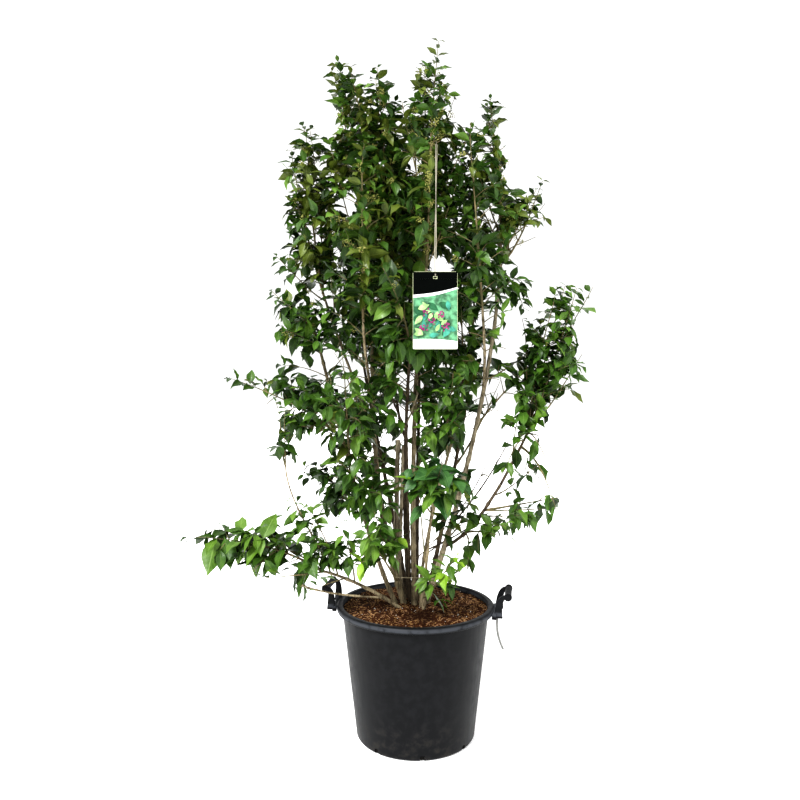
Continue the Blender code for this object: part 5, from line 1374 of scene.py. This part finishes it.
def bark_tube(name, limb):
    """Limb's surface: swollen at its nodes, budded by turns on two sides, ridged and a little uneven."""
    shape = Shape()
    phase = random.Random(name).uniform(0.0, math.tau)
    rings = max(8, round(limb.length / RING_SPACING))
    centres, radii = [], []
    for i in range(rings + 1):
        t = i / rings
        centre = limb.at(t)
        along = t * limb.length + KNOT_SPACING * 0.5
        node = round(along / KNOT_SPACING)
        off = along - node * KNOT_SPACING
        swell = 1.0 + KNOT_SWELL * math.exp(-(off / KNOT_LENGTH) ** 2)
        bud = BUD_SWELL * math.exp(-((off - BUD_OFFSET) / BUD_LENGTH) ** 2)
        bend = noise.noise(Vector((t * 9.0, phase, 0.0))) * LIMB_WANDER
        around = []
        for k in range(LIMB_SIDES):
            angle = math.tau * k / LIMB_SIDES
            lobe = abs(math.cos(angle - phase - node * math.pi / 2.0)) ** 10
            grain = noise.noise(Vector((math.cos(angle) * 2.5, math.sin(angle) * 2.5, along * 40.0 + phase)))
            around.append(limb.radius(t) * (BARK_BASE * swell + bud * lobe + BARK_ROUGHNESS * grain))
        centres.append(centre + Vector((bend, -bend, 0.0)) * math.sin(math.pi * t))
        radii.append(around)
    shape.tube(centres, radii, LIMB_SIDES)
    return shape


def make_limbs(limbs, twigs, finishes):
    """Bark over every limb, pale cuts where stems were pruned, thin twigs and short leafless shoots."""
    barks = {**dict.fromkeys(DARK_LIMBS, "bark_dark"), **dict.fromkeys(PALE_LIMBS, "bark_pale")}
    for name, limb in limbs.items():
        piece = bark_tube(name, limb).shown(f"bark_{name}", finishes[barks.get(name, "bark")])
        settle(piece, "bark", name)
    cuts = Shape()
    for name in ("stem_pruned", "stem_short"):
        tip, way = limbs[name].at(1.0), limbs[name].heading(1.0)
        radius = limbs[name].radius(1.0)
        cuts.tube([tip + way * rise for rise in CUT_RISES], [radius * share for share in CUT_SHARES], 16)
    settle(cuts.shown("cut_wood", finishes["cut_wood"], False), "bark")
    for bark in ("bark_dark", "bark_pale", "twig"):
        thin = Shape()
        for name, *_, kind in FINE_TWIGS:
            if kind == bark:
                thin.tube(*twigs[name].knotted(*THIN_KNOTS), 8)
        settle(thin.shown(f"thin_twigs_{bark}", finishes[bark]), "bark")
    shoots = Shape()
    for name, place_on, way in SHOOTS:
        foot, way = limbs[name].at(place_on), Vector(way)
        bow = Vector((way.x, way.y, 0.0)) * SHOOT_BOW
        bowed = curve_points((foot, foot + way * 0.5 + bow, foot + way), 12)
        shoots.tube(bowed, tapered(*SHOOT_RADII, 12), 6)
    settle(shoots.shown("bare_shoots", finishes["twig"]), "bark")


def in_room(point, room):
    """Whether a point lies in a box of lowest and highest corner."""
    return all(low < at < high for low, at, high in zip(room[0], point, room[1]))


def both_sides(heading, turn):
    """The two opposite ways out of a stem at a turn about it."""
    across = heading.orthogonal().normalized()
    across.rotate(Matrix.Rotation(turn, 3, heading))
    return across, -across


class Crown:
    """Twigs, leaves and young fruit of the whole crown, gathered as they grow."""

    def __init__(self, limbs):
        self.limbs = limbs
        self.twigs = Shape()
        self.leaves = {kind: [] for kind in LEAF_COLOURS}
        self.fruit = []
        marks = [(limb.at(i / 80), limb.radius(i / 80)) for limb in limbs.values() for i in range(81)]
        self.radii = [radius for _, radius in marks]
        self.tree = kdtree.KDTree(len(marks))
        for i, (point, _) in enumerate(marks):
            self.tree.insert(point, i)
        self.tree.balance()

    def free(self, points, name, gaps=SKY_GAPS):
        """Whether a leaf or twig keeps to its space and clear of the limbs, pot, tag and grips."""
        for point in points:
            if not in_room(point, self.space):
                return False
            nearer = -CAMERA_PLACE[1] / (point.y - CAMERA_PLACE[1])
            seen_x = CAMERA_PLACE[0] + (point.x - CAMERA_PLACE[0]) * nearer
            seen_z = CAMERA_PLACE[2] + (point.z - CAMERA_PLACE[2]) * nearer
            if any(gap[0] < seen_x < gap[2] and gap[1] < seen_z < gap[3] for gap in gaps):
                return False
            over_pot = math.hypot(point.x, point.y) < RIM_RADIUS + LIP_ROOM
            if point.z < POT_HEIGHT + SOIL_ROOM and (over_pot or name != MASS_OVER_LIP):
                return False
            if any(in_room(point, room) for room in (TAG_ROOM, STRAP_ROOM, *GRIP_ROOMS)):
                return False
            _, i, distance = self.tree.find(point)
            if distance < self.radii[i] + LEAF_CLEARANCE:
                return False
        return True

    def leaf(self, name, base, heading, out, length, kind, rng):
        """One drooping leaf from a node, left out where it has no room."""
        splay = LEAF_SPLAY + rng.gauss(0.0, SPLAY_UNEVEN)
        ahead = (heading * math.cos(splay) + out * math.sin(splay)).normalized()
        ahead = (ahead - UP * rng.uniform(*self.droop)).normalized()
        side = ahead.cross(UP)
        side = (side if side.length > 0.05 else ahead.orthogonal()).normalized()
        side.rotate(Matrix.Rotation(rng.gauss(0.0, LEAF_ROLL), 3, ahead))
        upward = side.cross(ahead)
        bend = rng.uniform(*LEAF_BEND)
        middle = [base + ahead * (length * math.sin(bend * s) / bend)
                  - upward * (length * (1.0 - math.cos(bend * s)) / bend) for s in LEAF_PROBES]
        wide = length * rng.uniform(*LEAF_BREADTH) * BROADER.get(kind, 1.0)
        edges = [middle[i] + side * across for i, share in ((0, 1.0), (2, 0.7))
                 for across in (wide * share, -wide * share)]
        if self.free(middle + edges, name):
            sizes = (length, wide, bend, rng.uniform(*LEAF_FOLD), rng.uniform(*LEAF_WAVE),
                     rng.uniform(0, 6.28), rng.gauss(0.0, LEAF_TWIST))
            self.leaves[kind].append((base, ahead, side, upward, sizes))

    def pair(self, name, base, heading, turn, length, kind, rng):
        """Two leaves that face each other across a node, mostly of the spray's own colour."""
        for out in both_sides(heading, turn):
            dealt = kind if rng.random() < SAME_COLOUR else self.deal(rng)
            self.leaf(name, base, heading, out, length * rng.uniform(*LEAF_SIZES), dealt, rng)

    def deal(self, rng):
        """A kind of leaf by the weights of the palette in hand."""
        return rng.choices(list(self.palette), self.palette.values())[0]

    def cluster(self, base, heading, rng):
        """Young fruit on short stalks beside a node."""
        out = heading.orthogonal().normalized()
        middle = base + (out * 0.6 + heading * 0.5).normalized() * rng.uniform(*CLUSTER_SIZE)
        self.twigs.tube([base, base.lerp(middle, 0.5) + UP * 0.001, middle], STALK_RADII, 4)
        wide = rng.uniform(*CLUSTER_SIZE)
        for _ in range(rng.randint(*BERRIES)):
            away = Vector((rng.gauss(0, 1), rng.gauss(0, 1), rng.gauss(0, 1))).normalized()
            self.fruit.append(middle + away * wide * rng.uniform(*BERRY_SPREAD))

    def twig(self, name, base, heading, out, reach, turn, size, rng):
        """Side twig with pairs of leaves at its nodes and a pair at its end."""
        ahead = (heading * math.cos(TWIG_SPREAD) + out * math.sin(TWIG_SPREAD)).normalized()
        end = base + ahead * reach - UP * reach * rng.uniform(*TWIG_SAG)
        middle = base + ahead * reach * 0.5 + UP * reach * rng.uniform(*TWIG_RISE)
        controls = (base, middle, end)
        steps = max(3, round(reach / TWIG_RING_SPACING))
        centres = curve_points(controls, steps)
        if not self.free(centres[steps // 2:], name, ()) or not self.free(centres[-1:], name):
            return
        self.twigs.tube(centres, tapered(TWIG_FOOT_RADIUS, TWIG_TIP_RADIUS, steps), TWIG_SIDES)
        kind = self.deal(rng)
        count = max(1, round(reach / TWIG_NODE_SPACING))
        for k in range(1, count + 1):
            t = k / count
            point = on_curve(controls, t)
            way = (on_curve(controls, min(1.0, t + 0.02)) - on_curve(controls, t - 0.02)).normalized()
            self.pair(name, point, way, turn + k * QUARTER, size * (1.0 - TWIG_LEAF_TAPER * t), kind, rng)
            if point.z > FRUIT_FROM and rng.random() < self.fruiting:
                self.cluster(point, way, rng)
        way = (centres[-1] - centres[-2]).normalized()
        self.pair(name, centres[-1], way, turn + TWIG_END_TURN, size * TWIG_END_LEAF, kind, rng)

    def limb_sprays(self, name, lowest, share):
        """Leafy side twigs at the nodes of a limb above a height, grown by the same rule as a mass's."""
        rng = random.Random(f"sprays of {name}")
        limb = self.limbs[name]
        self.palette = PALETTES["crown"]
        self.droop = USUAL_DROOP
        self.fruiting = USUAL_FRUIT
        inset = Vector((SPRAY_INSET,) * 3)
        self.space = (CAD_LOW + inset, CAD_HIGH - inset)
        nodes = round(limb.length / SPRAY_SPACING)
        for k in range(1, nodes + 1):
            point, heading = limb.at(k / nodes), limb.heading(k / nodes)
            if point.z < lowest:
                continue
            for out in both_sides(heading, k * QUARTER + rng.gauss(0.0, SPRAY_UNEVEN)):
                if rng.random() < share:
                    reach, size = rng.uniform(*SPRAY_REACH), LEAF_LENGTH * rng.uniform(*SPRAY_LEAF_SIZES)
                    self.twig(name, point, heading, out, reach, k * SPRAY_TURN, size, rng)

    def tip_shoot(self, name, tip, heading, leaf, rng):
        """This year's thin end of a stem, with pairs of small leaves."""
        nod = Vector((rng.gauss(0.0, 0.006), rng.gauss(0.0, 0.006), 0.0))
        reach = TIP_SHOOTS.get(name, TIP_SHOOT)
        controls = (tip, tip + heading * reach * 0.5, tip + heading * reach + nod)
        self.twigs.tube(curve_points(controls, 6), tapered(AXIS_TIP_RADIUS, TWIG_TIP_RADIUS, 6), 6)
        turn = rng.uniform(0.0, math.tau)
        for k, size in enumerate(TIP_LEAVES):
            self.pair(name, on_curve(controls, k / 4), heading, turn + k * QUARTER, leaf * size,
                      self.deal(rng), rng)

    def mass(self, name, carrier, place_on, leaving, tip, wide, bare):
        """Stem of a mass with its nodes, leaves and side twigs, grown on from its carrier."""
        rng = random.Random(name)
        size, spacing, palette = STYLES.get(name, DEFAULT_STYLE)
        self.palette = PALETTES[palette]
        self.droop = LEAF_DROOP.get(palette, USUAL_DROOP)
        self.fruiting = FRUIT_SHARES.get(palette, USUAL_FRUIT)
        outer = Vector((OUTER_MARGIN,) * 3)
        low, high = CAD_LOW - outer, CAD_HIGH + outer
        foot_radius = FINE_FOOT_RADIUS
        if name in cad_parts:
            margin = Vector((REACH_MARGIN,) * 3)
            box_low, box_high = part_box(name)
            low = [max(a, b) for a, b in zip(low, box_low - margin)]
            high = [min(a, b) for a, b in zip(high, box_high + margin)]
            foot_radius = self.limbs[carrier].radius(1.0) if place_on == 1.0 else AXIS_FOOT_RADIUS
        self.space = (low, high)
        stem = mass_stem(self.limbs[carrier], place_on, leaving, tip, foot_radius)
        self.twigs.tube(*stem.knotted(*STEM_KNOTS), 8)
        nodes = round(stem.length * (1.0 - bare) / (NODE_SPACING * spacing))
        first_turn = rng.uniform(0.0, math.tau)
        for k in range(1, nodes + 1):
            t = bare + (1.0 - bare) * (k / nodes) ** 0.9
            point, heading = stem.at(t), stem.heading(t)
            turn = first_turn + k * QUARTER + rng.gauss(0.0, TURN_UNEVEN)
            leaf = LEAF_LENGTH * size * (1.0 - AXIS_LEAF_TAPER * t * t)
            kind = self.deal(rng)
            for out in both_sides(heading, turn):
                reach = half_width(wide, t) * rng.uniform(*TWIG_REACH) * (1.0 - TOP_TAPER * t ** 3)
                if reach > TWIG_SHORTEST and rng.random() < TWIG_SHARE:
                    self.twig(name, point, heading, out, reach, turn, leaf, rng)
            self.pair(name, point, heading, turn, leaf, kind, rng)
            if point.z > FRUIT_FROM and rng.random() < self.fruiting:
                self.cluster(point, heading, rng)
        self.tip_shoot(name, Vector(tip), stem.heading(1.0), LEAF_LENGTH * size, rng)


def set_leaf(crown, base, way, length, breadth, kind):
    """One broad leaf that faces the camera."""
    ahead = Vector(way).normalized()
    side = ahead.cross(Vector((0.0, 1.0, 0.15))).normalized()
    crown.leaves[kind].append((Vector(base), ahead, side, side.cross(ahead),
                               (length, length * breadth, *SINGLE_LEAF_SHAPE)))


def leaf_mesh(name, leaves, material):
    """All leaves of one colour as one mesh: arched along the midrib, folded, waved at the edge, twisted."""
    frames = np.array([[tuple(vector) for vector in leaf[:4]] for leaf in leaves])
    sizes = np.array([leaf[4] for leaf in leaves])
    length, wide, bend, fold, wave, phase, twist = (sizes[:, i][:, None, None] for i in range(7))
    outline = np.array(LEAF_OUTLINE)
    station = outline[:, 0][None, :, None]
    width = outline[:, 1][None, :, None]
    column = np.array(LEAF_COLUMNS)[None, None, :]
    turn = bend * station
    ahead_by = length * np.sin(turn) / bend
    down_by = length * (1.0 - np.cos(turn)) / bend
    aside = wide * width * column
    lift = fold * np.abs(aside) + wave * length * width * column ** 2 * np.sin(phase + 15.0 * station)
    curl = twist * station
    aside, lift = aside * np.cos(curl) - lift * np.sin(curl), aside * np.sin(curl) + lift * np.cos(curl)
    base, ahead, side, upward = (frames[:, i][:, None, None, :] for i in range(4))
    points = (base + ahead * (ahead_by + lift * np.sin(turn))[..., None] + side * aside[..., None]
              + upward * (lift * np.cos(turn) - down_by)[..., None])
    rows, columns = len(LEAF_OUTLINE), len(LEAF_COLUMNS)
    each = rows * columns
    corner = np.array([(r * columns + c, r * columns + c + 1, (r + 1) * columns + c + 1,
                        (r + 1) * columns + c) for r in range(rows - 1) for c in range(columns - 1)])
    faces = (corner[None] + (np.arange(len(leaves)) * each)[:, None, None]).reshape(-1, 4)
    mesh = mesh_of(name, points.reshape(-1, 3).tolist(), faces.tolist(), material)
    across = np.broadcast_to((column[0] + 1.0) / 2.0, (rows, columns))
    along = np.broadcast_to(station[0], (rows, columns))
    spots = np.stack((across, along), axis=-1).reshape(-1, 2)
    loops = np.tile(spots[corner.reshape(-1)], (len(leaves), 1))
    mesh.uv_layers.new(name="leaf").data.foreach_set("uv", loops.astype(np.float32).reshape(-1))
    return mesh


def fruit_growth(material):
    """Tree that puts one berry of varied size on each point."""
    grow = Growth("Young fruit", {"Radius": BERRY_RADIUS, "Seed": 7})
    points = grow.add("GeometryNodeMeshToPoints", None, {"Mesh": grow.input("Geometry")})
    berry = grow.add("GeometryNodeMeshIcoSphere", None, {"Radius": grow.input("Radius"), "Subdivisions": 1})
    size = grow.random(*BERRY_SIZES, grow.input("Seed"))
    berries = grow.add("GeometryNodeInstanceOnPoints", None, {"Points": points, "Instance": berry,
                                                              "Scale": size})
    grow.close(berries, material, True)
    return grow


def make_crown(limbs, finishes):
    """Grow every mass and turn what grew into one piece a kind."""
    crown = Crown(limbs)
    for row in MASSES + FINE_BOUGHS:
        crown.mass(*row)
    for name, (lowest, share) in LIMB_SPRAYS.items():
        crown.limb_sprays(name, lowest, share)
    for leaf in SINGLE_LEAVES:
        set_leaf(crown, *leaf)
    settle(crown.twigs.shown("crown_twigs", finishes["twig"]), "bark")
    names = [row[0] for row in MASSES]
    for kind, leaves in crown.leaves.items():
        piece = show(f"leaves_{kind}", leaf_mesh(f"leaves_{kind}", leaves, finishes[kind]))
        settle(piece, "foliage", *names)
        names = []
    spots = bpy.data.meshes.new("fruit_spots")
    spots.from_pydata(crown.fruit, [], [])
    settle(fruit_growth(finishes["fruit"]).run("young_fruit", spots), "foliage")


def make_finishes():
    """Every finish by its plain name."""
    finishes = {kind: leaf_finish(f"leaf_{kind}", *tones) for kind, tones in LEAF_COLOURS.items()}
    finishes.update({
        "bark": bark_finish("bark_tan", (0.042, 0.030, 0.014), (0.285, 0.232, 0.142)),
        "bark_pale": bark_finish("bark_pale", (0.060, 0.045, 0.023), (0.330, 0.280, 0.190)),
        "bark_dark": bark_finish("bark_dark", (0.018, 0.012, 0.007), (0.085, 0.062, 0.036)),
        "twig": bark_finish("twig_bark", (0.055, 0.040, 0.018), (0.185, 0.145, 0.070), youth=0.6),
        "cut_wood": plain_finish("cut_wood", (0.520, 0.400, 0.240), 0.8, 0.25),
        "fruit": berry_finish(),
        "pot": plastic_finish("pot_plastic", 1.0),
        "handle": plastic_finish("handle_plastic", 0.3),
        "soil": soil_finish(),
        "mulch": mix_finish("mulch", (0.010, 0.003, 0.001), (0.060, 0.022, 0.008)),
        "crumb": mix_finish("mulch_crumb", (0.013, 0.004, 0.001), (0.058, 0.024, 0.008)),
        "chip": mix_finish("mulch_chip", (0.060, 0.027, 0.010), (0.300, 0.175, 0.072)),
        "fibre": mix_finish("mulch_fibre", (0.190, 0.090, 0.038), (0.540, 0.340, 0.190)),
        "grain": plain_finish("pale_grain", (0.560, 0.540, 0.490), 0.9),
        "tie": plain_finish("tie_plastic", (0.120, 0.120, 0.112), 0.5),
        "strap": plain_finish("strap_plastic", (0.360, 0.330, 0.260), 0.5),
        "card": plain_finish("card", (0.640, 0.690, 0.420), 0.35, 0.04),
        "sky": plain_finish("print_sky", (0.085, 0.230, 0.120), 0.40, 0.55, 0.15),
        "white": plain_finish("print_white", (0.800, 0.800, 0.780), 0.32, 0.02),
        "black": plain_finish("print_black", (0.0010, 0.0016, 0.0013), 0.60, 0.10, 0.02),
        "print_dark": plain_finish("print_dark", (0.020, 0.090, 0.040), 0.40, 0.35, 0.15),
        "print_teal": plain_finish("print_teal", (0.050, 0.240, 0.170), 0.40, 0.35, 0.15),
        "print_light": plain_finish("print_light", (0.300, 0.520, 0.200), 0.40, 0.30, 0.15),
        "print_berry": plain_finish("print_berry", (0.230, 0.030, 0.120), 0.40, 0.40, 0.15),
    })
    return finishes


def make_stage():
    """Pale floor, even sky and soft lamps."""
    pale = Finish("floor", {"Base Color": (0.9, 0.9, 0.9, 1.0), "Roughness": 0.9,
                            "Emission Color": (1.0, 1.0, 1.0, 1.0), "Emission Strength": FLOOR_GLOW})
    floor = show("floor", mesh_of("floor", [(-20, -20, 0), (20, -20, 0), (20, 20, 0), (-20, 20, 0)],
                                  [(0, 1, 2, 3)], pale.finished()))
    world = bpy.data.worlds.new("studio")
    world.use_nodes = True
    sky = world.node_tree.nodes["Background"]
    sky.inputs["Color"].default_value = (1.0, 1.0, 1.0, 1.0)
    sky.inputs["Strength"].default_value = SKY_STRENGTH
    bpy.context.scene.world = world
    bpy.context.scene.view_settings.view_transform = "Standard"
    bpy.context.scene.view_settings.look = "Medium High Contrast"
    for name, (place_at, softness, power) in LAMPS.items():
        lamp = bpy.data.lights.new(name, "SUN")
        lamp.angle = math.radians(softness)
        lamp.energy = power
        item = bpy.data.objects.new(name, lamp)
        item.location = place_at
        item.rotation_euler = (Vector(LAMP_AIM) - Vector(place_at)).to_track_quat("-Z", "Y").to_euler()
        bpy.context.scene.collection.objects.link(item)


def make_camera():
    """Camera at the photograph's viewing angle."""
    lens = bpy.data.cameras.new("camera")
    lens.lens = LENS_MM
    lens.sensor_width = SENSOR_MM
    lens.shift_y = CAMERA_SHIFT_Y
    camera = bpy.data.objects.new("camera", lens)
    camera.location = CAMERA_PLACE
    camera.rotation_euler = (math.pi / 2.0 + CAMERA_PITCH, 0.0, 0.0)
    bpy.context.scene.collection.objects.link(camera)
    bpy.context.scene.camera = camera


def main():
    make_camera()
    make_stage()
    finishes = make_finishes()
    limbs = grow_limbs()
    twigs = grow_fine_twigs(limbs)
    make_limbs(limbs, twigs, finishes)
    make_crown({**limbs, **twigs}, finishes)
    make_pot(finishes["pot"])
    make_handle("handle_right", HANDLE_TURN, finishes["handle"])
    make_handle("handle_left", HANDLE_TURN + math.pi, finishes["handle"])
    make_tie(finishes["tie"])
    make_bed(finishes)
    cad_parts["soil"].data.materials[0] = finishes["soil"]
    make_tag(finishes)
    _, carrier, place_on, leaving, tip, *_ = next(row for row in MASSES if row[0] == HANGER_MASS)
    make_strap(mass_stem(limbs[carrier], place_on, leaving, tip, AXIS_FOOT_RADIUS), finishes)


main()
